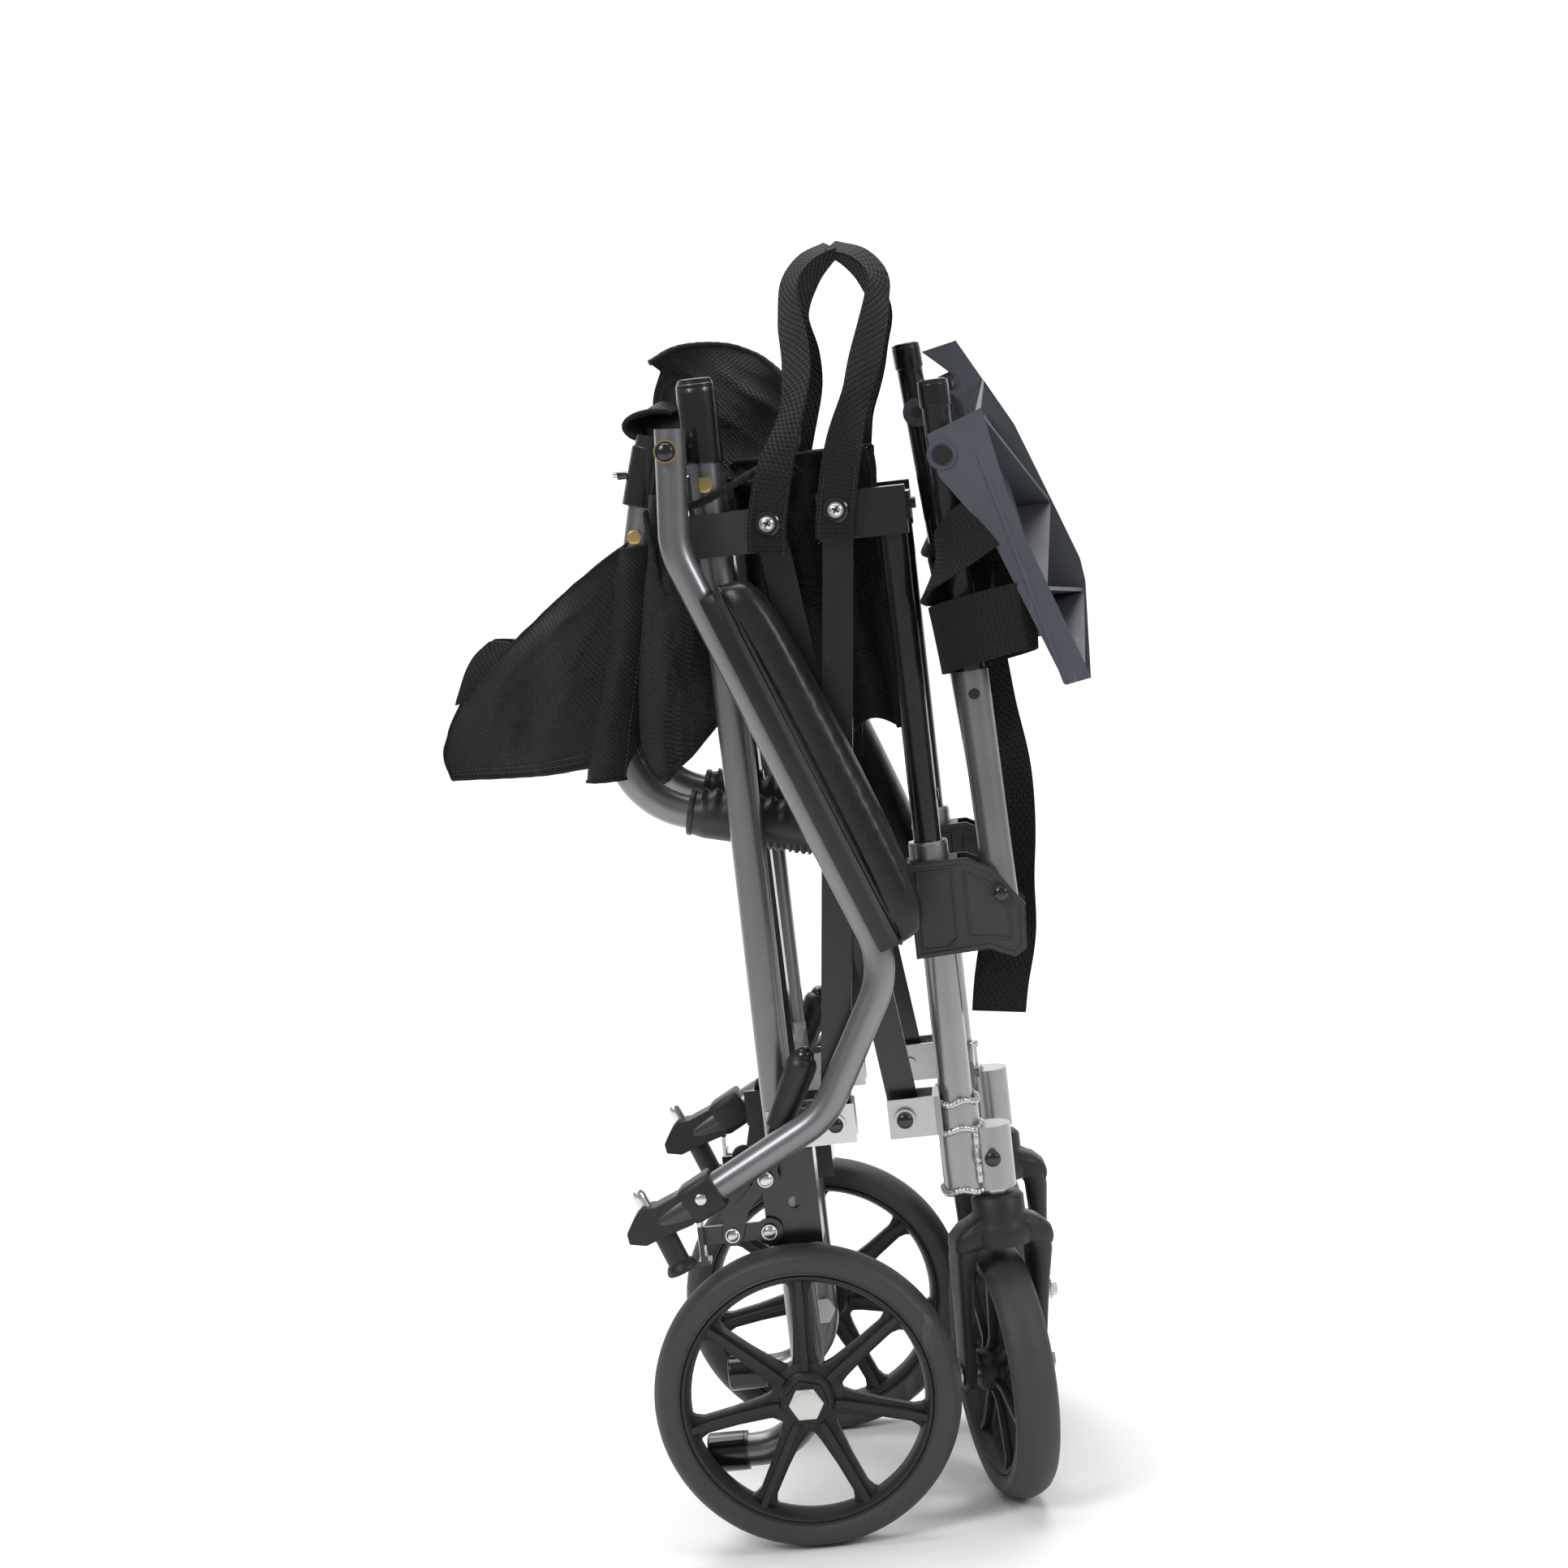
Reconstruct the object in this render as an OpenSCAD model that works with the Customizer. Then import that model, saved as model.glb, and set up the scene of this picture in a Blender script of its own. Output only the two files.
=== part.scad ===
// Folding transport wheelchair, stored in its folded state.
// +X is the way the chair faces, +Y is the rider's left, +Z is up; it stands on its wheels.
// "right" pieces lie at -Y. Opening the frame swings four pairs of crossed links.

/* [Frame] */
// Half the distance between the two rear posts, folded
post_y = 92; // [90:1:94]
// Outer diameter of the posts and the outer front tubes
tube_d = 22; // [21:0.5:23]
// Wall of the frame tubes
tube_wall = 1.8; // [1.2:0.1:2.4]
// Height of the top of the rear post tube
post_top = 714; // [712:1:716]
// How far the front legs stand ahead of the rear posts, folded
leg_x = 117; // [116:1:118]

/* [Crossed links] */
// Height of the lower side pivots
low_z = 275; // [274:1:276]
// Height of the upper side pivots, folded
high_z = 672; // [671:1:673]
// Width of a link bar
link_w = 20; // [16:1:22]
// Thickness of a link bar
link_t = 4; // [3:0.5:4]
// Radius of the link pivots
pin_r = 4; // [3:0.5:4]

/* [Wheels] */
// Rear wheel radius
wheel_r = 101.5; // [98:0.5:102]
// Rear tyre width
tyre_w = 30; // [26:1:30]
// Number of spokes in a rear wheel
spokes = 7; // [5:1:9]
// Front caster wheel radius
caster_r = 89; // [84:1:90]
// How far a caster's axle trails behind its stem
trail = 35; // [30:1:38]

/* [Arms and handles] */
// Diameter of the arm tube
arm_d = 20; // [18:0.5:20]
// Width of the arm pad
pad_w = 44; // [40:1:44]
// Radius of the push handle grip
grip_r = 16; // [14:0.5:16]

/* [Hidden] */
$fn = 32;

// The frame's origin sits under the middle of the whole object's box.
mid = [21.3, 29.3];
right = -1;
left = 1;
run = 0.06;                     // radial running clearance of a pin or a shaft
tube_r = tube_d / 2;
inner_r = 9;                    // inner front tube
arm_r = arm_d / 2;
pivot_x = [37, 83];             // side pivots, rear and front
cross_y = 23;                   // pivots of the rear and front pairs, each side of the middle
rear_lift = 25;                 // the rear pair is set this much higher than the side pairs
axle_z = wheel_r;
wheel_y = 124;
arm_y = 131;
cane_y = 62;
hinge = [-19, 724];             // one pin carries the arm and the cane
stem_x = leg_x + 20;
caster_turn = [15, 5];          // how far the right and left casters are turned at rest
hang_pivot = [161, 417];
cuff_y = 105.2;                 // outer face of the bracket cheeks on a post

// Places a piece drawn for the right-hand side, or its mirror image, in the object's frame.
module place(side = right) {
    translate([-mid[0], -mid[1], 0])
        mirror([0, side == left ? 1 : 0, 0]) children();
}

// A round bar between two points.
module rod(a, b, r) {
    v = b - a;
    translate(a) rotate([0, acos(v[2] / norm(v)), atan2(v[1], v[0])]) cylinder(r = r, h = norm(v));
}

// A cylinder along Y from y0 to y1 through the point p in the side plane.
module across(p, y0, y1, r, sides = 32) {
    translate([p[0], y0, p[1]]) rotate([-90, 0, 0]) cylinder(r = r, h = y1 - y0, $fn = sides);
}

// A cylinder along X from x0 to x1 through the point [y, z].
module along(p, x0, x1, r) {
    translate([x0, p[0], p[1]]) rotate([0, 90, 0]) cylinder(r = r, h = x1 - x0);
}

// A box from its low corner to its high corner.
module block(low, high) {
    translate(low) cube(high - low);
}

function unit(v) = v / norm(v);
function turn(a, b, c) = acos(unit(b - a) * unit(c - b));
function side_of(a, b, c) = sign((b - a)[0] * (c - b)[1] - (b - a)[1] * (c - b)[0]);

eye = 0.6;                      // how much wider a link's round end is than its bar
lap = 2;                        // how far a straight runs into a bend
swell = 0.08;                   // a bend is this much fatter, so that the straight ends inside it

// A solid round bar through points [x, z] in the plane y, with bends of radius bend.
module bent_bar(path, y, r, bend) {
    last = len(path) - 1;
    cut = [for (i = [0 : last]) i == 0 || i == last ? 0
        : bend * tan(turn(path[i - 1], path[i], path[i + 1]) / 2)];
    translate([0, y, 0]) rotate([90, 0, 0]) {
        for (i = [0 : last - 1]) {
            dir = unit(path[i + 1] - path[i]);
            a = path[i] + dir * (cut[i] - (i == 0 ? 0 : lap));
            b = path[i + 1] - dir * (cut[i + 1] - (i == last - 1 ? 0 : lap));
            rod([a[0], a[1], 0], [b[0], b[1], 0], r);
        }
        for (i = [1 : last - 1]) {
            dir = unit(path[i] - path[i - 1]);
            hand = side_of(path[i - 1], path[i], path[i + 1]);
            from = path[i] - dir * cut[i];
            centre = from + hand * bend * [-dir[1], dir[0]];
            sweep = turn(path[i - 1], path[i], path[i + 1]);
            start = atan2(from[1] - centre[1], from[0] - centre[0]);
            translate([centre[0], centre[1], 0]) rotate(hand > 0 ? start : start - sweep)
                rotate_extrude(angle = sweep, $fn = 96) translate([bend, 0]) circle(r + swell, $fn = 32);
        }
    }
}

// A link: a flat bar with round ends, drawn in 2D from a to b with its three holes.
module link_2d(a, b, hole) {
    v = b - a;
    difference() {
        union() {
            translate(a) rotate(atan2(v[1], v[0])) translate([0, -link_w / 2]) square([norm(v), link_w]);
            translate(a) circle(link_w / 2 + eye);
            translate(b) circle(link_w / 2 + eye);
        }
        for (p = [a, (a + b) / 2, b]) translate(p) circle(hole);
    }
}

// A straight bar of width w from a to b, with square ends, drawn in 2D.
module bar_2d(a, b, w) {
    v = b - a;
    translate(a) rotate(atan2(v[1], v[0])) translate([0, -w / 2]) square([norm(v), w]);
}

// A link in a side plane: from [x, z] a to b, its outer face at y0.
module side_link(a, b, y0) {
    translate([0, y0 + link_t, 0]) rotate([90, 0, 0]) linear_extrude(link_t) link_2d(a, b, pin_r + run);
}

// A link across the chair: from [y, z] a to b, its rear face at x0.
module cross_link(a, b, x0) {
    translate([x0, 0, 0]) rotate([90, 0, 90]) linear_extrude(link_t) link_2d(a, b, pin_r + run);
}

// ---- rear posts -------------------------------------------------------------------------

tail_z = 58;
tail_bend = 40;

// Post tube with its curved tipping tail, moulded head and tail cap.
module rear_post(side) {
    color([0.5, 0.5, 0.53]) place(side) difference() {
        union() {
            difference() {
                bent_bar([[0, post_top], [0, tail_z], [-52, tail_z]], -post_y, tube_r, tail_bend);
                bent_bar([[0, post_top + 1], [0, tail_z], [-53, tail_z]], -post_y,
                    tube_r - tube_wall, tail_bend);
            }
            post_head();
            translate([-46, -post_y, tail_z]) rotate([0, -90, 0]) difference() {
                cylinder(r = tube_r + 2, h = 26);
                translate([0, 0, -1]) cylinder(r = tube_r, h = 7);
            }
        }
        across([0, axle_z], -post_y - 20, -post_y + 20, 6 + run);
        across(hinge, -post_y - 40, -post_y + 40, pin_r + run);
    }
}

// Moulded head on top of the post, with the boss that carries the arm and the cane.
module post_head() {
    translate([0, -post_y, post_top]) cylinder(r = 12.75, h = 48);
    translate([0, -post_y, post_top + 48]) cylinder(r1 = 12.75, r2 = 11, h = 4);
    across(hinge, -117, -75, 10);
    block([hinge[0], -post_y - 9, post_top], [0, -post_y + 9, post_top + 20]);
}

// Cheeks of a folded steel bracket, from x0 to x1, round pivot height z, gap outside the tube.
module cheeks(x0, x1, z, gap) {
    for (y = [-post_y - gap - 2, -post_y + gap])
        block([x0, y, z - 13], [x1, y + 2, z + 13]);
}

// Short steel arm from a post to the pivot of a rear or front link: post_x is the tube's axis,
// x0 the arm's rear face, root_y where it starts.
module cross_arm(x0, root_y, z, head) {
    block([x0, root_y, z - 9], [x0 + 4, -cross_y + 11, z + 9]);
    along([-cross_y, z], head < 0 ? x0 - 3 : x0 - 5.4, head < 0 ? x0 + 9.4 : x0 + 7, pin_r);
}

// Bolts and brackets of a post: hinge pin, axle bolt, link bracket and rear link arm.
module post_hardware(side) {
    z = low_z + rear_lift;
    color([0.75, 0.75, 0.77]) place(side) {
        across(hinge, -arm_y - 13, -50, pin_r);
        across(hinge, -arm_y - 15, -arm_y - 10.5, 7);
        across([0, axle_z], -wheel_y - 17, -76, 6);
        across([0, axle_z], -wheel_y - 22, -wheel_y - 16, 11.5, 6);
        across([0, axle_z], -108, -post_y - tube_r - 0.2, 9);
        across([0, axle_z], -post_y + tube_r + 0.2, -75, 10, 6);
        across([0, 700], -post_y - tube_r - 4, -post_y - tube_r, 5.5, 6);
        cheeks(-8, 50, low_z, tube_r + 0.2);
        across([pivot_x[0], low_z], -post_y - 15, -post_y + 16, pin_r);
        across([pivot_x[0], low_z], -post_y - 15.2, -post_y - 13.2, 7);
        across([0, low_z], -post_y - 16, -post_y - 13, 6);
        difference() {
            block([-12, -post_y + tube_r - 1, z - 12], [12, -post_y + tube_r + 3, z + 12]);
            translate([0, -post_y, 0]) cylinder(r = tube_r + 0.1, h = post_top);
        }
        cross_arm(side == right ? -12 : 8, -post_y + tube_r + 2, z, side == right ? -1 : 1);
    }
}

// ---- parking brakes ---------------------------------------------------------------------

lever_pivot = [-12, 246];
shoe_pivot = [-14, 209];
lever_y = -114;

// Steel clamp that carries the brake on the post.
module brake_housing(side) {
    color([0.1, 0.1, 0.11]) place(side) {
        difference() {
            union() {
                block([-16, -post_y - 13, 198], [20, -post_y + 13, 261]);
                block([-40, -post_y - 13, 236], [-15, -post_y - 10, 261]);
            }
            translate([0, -post_y, 190]) cylinder(r = tube_r + 0.05, h = 80);
            across([4, 226], -post_y - 20, -post_y - 10, 4);
        }
        across(lever_pivot, lever_y - 3, -post_y - 12.5, 3);
        across(shoe_pivot, -109.8, -post_y - 12.5, 3);
    }
}

// Hand lever with its vinyl grip.
module brake_lever(side) {
    grip = [[2, 284], [22, 324]];
    color([0.08, 0.08, 0.08]) place(side) {
        difference() {
            translate([0, lever_y + 1.5, 0]) rotate([90, 0, 0]) linear_extrude(3) union() {
                translate(lever_pivot) circle(9);
                bar_2d(lever_pivot, grip[0] + [4, 8], 12);
                bar_2d(lever_pivot, [-30, 228], 9);
            }
            across(lever_pivot, lever_y - 5, lever_y + 5, 3 + run);
        }
        rod([grip[0][0], lever_y, grip[0][1]], [grip[1][0], lever_y, grip[1][1]], 6.5);
        translate([grip[1][0], lever_y, grip[1][1]]) sphere(6.8);
    }
}

// Bent strip that the lever presses on the tyre.
module brake_shoe(side) {
    color([0.16, 0.16, 0.17]) place(side) {
        difference() {
            translate([0, -105.6, 0]) rotate([90, 0, 0]) linear_extrude(3) union() {
                translate(shoe_pivot) circle(9);
                translate([-58, 204]) square([46, 12]);
            }
            across(shoe_pivot, -112, -100, 3 + run);
        }
        block([-62, -119.5, 193], [-54, -105.6, 196]);
        block([-60, -119.5, 193], [-57, -105.6, 219]);
    }
}

// ---- wheels -----------------------------------------------------------------------------

// A solid tyre with a round crown, turned about Z.
module tyre(radius, width, seat_r) {
    crown = width * 0.62;
    rotate_extrude($fn = 96) intersection() {
        translate([radius - crown, 0]) circle(crown, $fn = 48);
        translate([seat_r, -width / 2]) square([radius - seat_r + 1, width]);
    }
}

// A moulded wheel turned about Z: hub, spokes with a centre rib, and rim.
module mag_wheel(seat_r, width, hub_r, hub_w, count, first) {
    rim_in = seat_r - 11;
    difference() {
        union() {
            rotate_extrude($fn = 96) translate([rim_in, -width / 2 + 2]) square([seat_r - rim_in, width - 4]);
            cylinder(r = hub_r, h = hub_w, center = true);
            cylinder(r = hub_r + 7, h = 9, center = true);
            for (i = [0 : count - 1]) rotate(first + i * 360 / count) {
                translate([hub_r - 2, -6, -3]) cube([rim_in - hub_r + 4, 12, 6]);
                translate([hub_r - 2, -1.6, -8]) cube([rim_in - hub_r + 4, 3.2, 16]);
            }
        }
        cylinder(r = 6 + run, h = 60, center = true);
    }
}

module at_rear_wheel() {
    translate([0, -wheel_y, axle_z]) rotate([90, 0, 0]) children();
}

module rear_wheel(side) {
    color([0.12, 0.12, 0.12]) place(side) at_rear_wheel()
        mag_wheel(wheel_r - 15, tyre_w, 17.7, 31.4, spokes, 92);
}

module rear_tyre(side) {
    color([0.25, 0.25, 0.26]) place(side) at_rear_wheel() tyre(wheel_r, tyre_w, wheel_r - 15);
}

// Both casters trail to +Y, so the left one is placed and not mirrored.
module at_stem(side) {
    translate([-mid[0] + stem_x, -mid[1] + side * post_y, 0]) 
        rotate(side == right ? caster_turn[0] : caster_turn[1]) children();
}

// Fork with a threaded stem; drawn with the stem on Z and the axle trailing to +Y.
module caster_fork(side) {
    color([0.13, 0.13, 0.13]) at_stem(side) difference() {
        union() {
            translate([0, 0, 196]) cylinder(r = 8, h = 52);
            translate([0, 0, 196]) cylinder(r1 = 19, r2 = 15, h = 20);
            for (s = [-1, 1]) hull() {
                translate([s * 12, 2, 192]) sphere(8, $fn = 20);
                translate([s * 19, 8, 178]) sphere(6, $fn = 20);
            }
            for (s = [-1, 1]) hull() {
                translate([s * 21, 8, 180]) cube([6, 30, 8], center = true);
                translate([s * 22, trail, caster_r]) rotate([0, 90, 0]) cylinder(r = 13, h = 6, center = true);
            }
        }
        translate([0, trail, caster_r]) rotate([0, 90, 0]) cylinder(r = 5, h = 80, center = true);
    }
    color([0.7, 0.7, 0.72]) at_stem(side) translate([0, trail, caster_r]) rotate([0, 90, 0]) {
        cylinder(r = 4.98, h = 56, center = true);
        translate([0, 0, 25.1]) cylinder(r = 9, h = 5, $fn = 6);
        translate([0, 0, -30.1]) cylinder(r = 9, h = 5, $fn = 6);
    }
}

module caster_wheel(side) {
    color([0.15, 0.15, 0.15]) at_stem(side) translate([0, trail, caster_r]) rotate([0, 90, 0]) {
        difference() {
            mag_wheel(caster_r - 14, 30, 14, 36, spokes, 10);
            cylinder(r = 5 + run, h = 60, center = true);
        }
        tyre(caster_r, 30, caster_r - 14);
    }
}

// ---- front legs -------------------------------------------------------------------------

leg_foot = 221;
leg_top = 446;

// Outer tube, caster housing and the brackets welded to them.
module front_leg(side) {
    color([0.52, 0.52, 0.55]) place(side) {
        difference() {
            union() {
                translate([leg_x, -post_y, leg_foot]) cylinder(r = tube_r, h = leg_top - leg_foot);
                translate([leg_x, -post_y, leg_foot]) cylinder(r = 14, h = 60);
                translate([stem_x, -post_y, leg_foot]) cylinder(r = 13.5, h = 42);
                translate([leg_x, -post_y, leg_top - 6]) cylinder(r = 12.5, h = 14);
                cheeks(72, leg_x - 10, low_z, 14.2);
                block([leg_x - 15, -post_y - 16.2, low_z - 13],
                      [leg_x - 10, -post_y + 16.2, low_z + 13]);
                side_cross_root(side);
            }
            translate([leg_x, -post_y, leg_foot + 5]) cylinder(r = inner_r + run, h = 300);
            translate([stem_x, -post_y, leg_foot - 1]) cylinder(r = 8 + run, h = 30);
            across([pivot_x[1], low_z], -post_y - 30, -post_y + 30, pin_r);
        }
        across([pivot_x[1], low_z], -post_y - 20, -post_y + 19, pin_r);
        across([pivot_x[1], low_z], -post_y - 21, -post_y - 16.3, 7);
        across([stem_x, 243], -post_y - 17, -post_y - 13, 4);
        cross_arm(side == right ? leg_x - 12 : leg_x + 8, -post_y + 17, low_z, side == right ? -1 : 1);
    }
}

// Flange that joins the lower tube to the front link arm.
module side_cross_root(side) {
    block([leg_x - 12, -post_y + 13, low_z - 9], [leg_x + 12, -post_y + 17, low_z + 9]);
}

// Inner tube and the moulded block on its top.
module front_slide(side) {
    color([0.07, 0.07, 0.07]) place(side) {
        difference() {
            union() {
                translate([leg_x, -post_y, 430]) cylinder(r = inner_r, h = 240);
                block([70, -post_y - 14, 655], [127, -post_y + 14, 686]);
            }
            block([60, -post_y - 9.5, 640], [98, -post_y - 0.5, 700]);
            across([pivot_x[1], high_z], -post_y - 30, -post_y + 30, pin_r);
            translate([leg_x, -post_y, 420]) cylinder(r = inner_r - 1.5, h = 230);
        }
        across([pivot_x[1], high_z], -post_y - 17, -post_y + 13.8, pin_r);
        across([pivot_x[1], high_z], -post_y - 19, -post_y - 16.5, 7);
        difference() {
            block([leg_x + (side == right ? 0 : -12), -post_y + 14, high_z - 9],
                [leg_x + (side == right ? 12 : 0), -post_y + 18, high_z + 9]);
            along([-cross_y, high_z], leg_x - 20, leg_x + 20, pin_r);
        }
        cross_arm(side == right ? leg_x + 8 : leg_x - 12, -post_y + 17, high_z, side == right ? 1 : -1);
    }
}

// ---- sliding blocks and links -----------------------------------------------------------

// Moulded block that slides on the rear post.
module rear_block(side) {
    z = high_z + rear_lift;
    color([0.1, 0.1, 0.1]) place(side) {
        difference() {
            union() {
                block([-16, -post_y - 15, 653], [48, -post_y + 13, 681]);
                block([-13, -post_y - 4, 680], [13, -post_y + 14, z + 9]);
            }
            translate([0, -post_y, 600]) cylinder(r = tube_r + run, h = 120);
            block([22, -post_y - 2.5, 640], [60, -post_y + 7, 700]);
            across([pivot_x[0], high_z], -post_y - 30, -post_y + 30, pin_r);
        }
        across([pivot_x[0], high_z], -post_y - 18, -post_y + 12.9, pin_r);
        across([pivot_x[0], high_z], -post_y - 20, -post_y - 17.5, 7);
        cross_arm(side == right ? 8 : -12, -post_y + 14, z, side == right ? 1 : -1);
    }
}

module side_link_a(side) {
    color([0.06, 0.06, 0.06]) place(side)
        side_link([pivot_x[1], low_z], [pivot_x[0], high_z], -post_y + 0.5);
}

module side_link_b(side) {
    middle = [(pivot_x[0] + pivot_x[1]) / 2, (low_z + high_z) / 2];
    color([0.09, 0.08, 0.07]) place(side) {
        side_link([pivot_x[0], low_z], [pivot_x[1], high_z], -post_y - 7);
        across(middle, -post_y - 9, -post_y + 6.5, pin_r);
        across(middle, -post_y - 10.5, -post_y - 7.2, 6.5);
    }
}

module rear_link_a() {
    color([0.06, 0.06, 0.06]) place()
        cross_link([cross_y, low_z + rear_lift], [-cross_y, high_z + rear_lift], 3);
}

module rear_link_b() {
    color([0.08, 0.08, 0.08]) place() {
        cross_link([-cross_y, low_z + rear_lift], [cross_y, high_z + rear_lift], -7);
        along([0, (low_z + high_z) / 2 + rear_lift], -9, 8.5, pin_r);
    }
}

module front_link_a() {
    color([0.06, 0.06, 0.06]) place()
        cross_link([cross_y, low_z], [-cross_y, high_z], leg_x + 3);
}

module front_link_b() {
    color([0.08, 0.08, 0.08]) place() {
        cross_link([-cross_y, low_z], [cross_y, high_z], leg_x - 7);
        along([0, (low_z + high_z) / 2], leg_x - 9, leg_x + 8.5, pin_r);
    }
}

// ---- arms -------------------------------------------------------------------------------

arm_path = [[-16, 738], [-22, 661], [84, 381], [32, 287], [-60, 238]];
arm_bore = [[-15.84, 740], [-22, 661], [84, 381], [32, 287], [-50, 243.3]];
pad_from = arm_path[1];
pad_dir = unit(arm_path[2] - arm_path[1]);
pad_out = 5;                    // the cushion sits this far outboard of its tube
pad_tilt = atan2(pad_dir[1], pad_dir[0]);
catch_tip = [-100, 221];
pin_line = [[-94, 245], [-80.5, 215.4]];

// Bent arm tube with the moulded catch on its free end.
module arm_frame(side) {
    color([0.48, 0.48, 0.51]) place(side) difference() {
        union() {
            difference() {
                bent_bar(arm_path, -arm_y, arm_r, 55);
                bent_bar(arm_bore, -arm_y, arm_r - 1.6, 55);
            }
            across(hinge, -arm_y - 9, -arm_y + 9, 6.5);
            hull() {
                rod([-46, -arm_y, 246], [-64, -arm_y, 236], 12);
                translate([catch_tip[0], -arm_y - 8, catch_tip[1]]) cube([8, 16, 5]);
            }
        }
        across(hinge, -arm_y - 20, -arm_y + 20, pin_r + run);
        rod([pin_line[0][0], -arm_y, pin_line[0][1]] , [pin_line[1][0], -arm_y, pin_line[1][1]], 3 + run);
    }
}

// Pad drawn along the straight of the arm: X along the tube, Z out of the cushion.
module on_pad() {
    translate([pad_from[0], -arm_y, pad_from[1]]) rotate([0, -pad_tilt, 0]) children();
}

module arm_pad(side) {
    color([0.07, 0.07, 0.07]) place(side) on_pad() {
        difference() {
            block([32, -15, 0], [290, 15, 15]);
            rotate([0, 90, 0]) cylinder(r = arm_r + 0.1, h = 300);
            block([30, -9, -1], [295, 9, 8]);
        }
        hull() for (x = [46, 276], y = [-1, 1] * (pad_w / 2 - 11), z = [22, 29])
            translate([x, y - pad_out, z]) sphere(z > 25 ? 10 : 7, $fn = 24);
    }
}

// Spring pin with its pull knob.
module arm_pin(side) {
    a = [pin_line[0][0], -arm_y, pin_line[0][1]];
    b = [pin_line[1][0], -arm_y, pin_line[1][1]];
    d = unit(b - a);
    color([0.12, 0.12, 0.12]) place(side) {
        rod(a, b, 3);
        rod(a + d * 30, b, 5.5);
        rod(b - d * 2, b + d * 3, 9.5);
    }
}

// ---- push handles -----------------------------------------------------------------------

cane_top = [-42, 700];
cane_corner = [-91.5, 499];
cane_end = [56, 462.2];
cane_dir = unit(cane_top - cane_corner);
grip_dir = unit(cane_end - cane_corner);

module cane(side) {
    top = cane_top + cane_dir * 36;
    color([0.5, 0.5, 0.53]) place(side) difference() {
        union() {
            difference() {
                bent_bar([cane_top, cane_corner, cane_end], -cane_y, tube_r, 55);
                bent_bar([cane_top, cane_corner, cane_end + grip_dir], -cane_y, tube_r - tube_wall, 55);
            }
            rod([cane_top[0], -cane_y, cane_top[1]], [top[0], -cane_y, top[1]], 11.5);
            across(hinge, -cane_y - 10, -cane_y + 8, 9);
            block([-36, -cane_y - 8, 716], [hinge[0], -cane_y + 8, 732]);
            along([-cane_y, 712], -60, -40, 3);
        }
        across(hinge, -cane_y - 20, -cane_y + 20, pin_r + run);
    }
}

module cane_grip(side) {
    a = cane_corner + grip_dir * 58;
    b = cane_end + grip_dir * 3;
    color([0.09, 0.09, 0.09]) place(side) difference() {
        union() {
            rod([a[0], -cane_y, a[1]], [b[0], -cane_y, b[1]], grip_r);
            rod([b[0], -cane_y, b[1]], [b[0], -cane_y, b[1]] + 4 * [grip_dir[0], 0, grip_dir[1]], grip_r - 3);
        }
        rod([a[0], -cane_y, a[1]] - [grip_dir[0], 0, grip_dir[1]],
            [cane_end[0], -cane_y, cane_end[1]] + 0.2 * [grip_dir[0], 0, grip_dir[1]], tube_r + 0.05);
    }
}

// ---- footrests --------------------------------------------------------------------------

// Moulded clamp on the front leg that carries the swinging hanger.
module footrest_bracket(side) {
    outline = [[102, 379], [102, 442], [141, 442], [158, 433], [176, 408], [174, 379], [166, 374],
        [150, 381]];
    color([0.1, 0.1, 0.11]) place(side) difference() {
        translate([0, -post_y + 15.5, 0]) rotate([90, 0, 0]) linear_extrude(31) polygon(outline);
        translate([leg_x, -post_y, 300]) cylinder(r = tube_r + 0.05, h = 139);
        translate([leg_x, -post_y, 430]) cylinder(r = 12.55, h = 30);
        block([135, -post_y - 12, 340], [200, -post_y + 12, 460]);
    }
    color([0.6, 0.6, 0.62]) place(side) {
        across(hang_pivot, -post_y - 17, -post_y + 17, pin_r - 0.02);
        across(hang_pivot, -post_y - 19, -post_y - 15.6, 6);
    }
}

// The hanger's own line: tilt leans it back, out is how far its inner tube is drawn.
module hang_frame(tilt) {
    translate([hang_pivot[0], -post_y, hang_pivot[1]]) rotate([0, -tilt, 0]) children();
}

function hang_tilt(side) = side == right ? 1.5 : 4.2;
function hang_out(side) = side == right ? 0 : 30;

module hanger(side) {
    color([0.5, 0.5, 0.53]) place(side) hang_frame(hang_tilt(side)) difference() {
        union() {
            difference() {
                translate([0, 0, -11]) cylinder(r = tube_r, h = 156);
                translate([0, 0, 16]) cylinder(r = inner_r + 0.2, h = 150);
            }
            translate([0, 0, 60 + hang_out(side)]) cylinder(r = inner_r, h = 268);
            translate([0, 0, 328 + hang_out(side)]) cylinder(r = inner_r + 0.8, h = 5);
        }
        translate([0, 20, 0]) rotate([90, 0, 0]) cylinder(r = pin_r + run, h = 40);
        translate([0, 20, 285 + hang_out(side)]) rotate([90, 0, 0]) cylinder(r = pin_r, h = 40);
        translate([0, -6, 130]) rotate([90, 0, 0]) cylinder(r = 3.5, h = 20);
    }
    color([0.6, 0.6, 0.62]) place(side) hang_frame(hang_tilt(side))
        translate([0, 18, 285 + hang_out(side)]) rotate([90, 0, 0]) {
            cylinder(r = pin_r - 0.02, h = 38);
            translate([0, 0, 37.7]) cylinder(r = 6, h = 3);
        }
}

// Footplate outlines in the side plane, measured from its pivot.
near_wall = [[-8, 14], [-7, 1], [-3, -14], [25, -54], [63, -155], [80, -152], [41, -40], [28, 27]];
far_wall = [[8, 40], [32, 45], [49, 14], [70, -43], [83, -79], [85, -94], [82, -159], [66, -161],
    [40, -70], [30, 20]];
plate_y = [-20, 67];            // near and far walls, measured from the hanger

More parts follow.
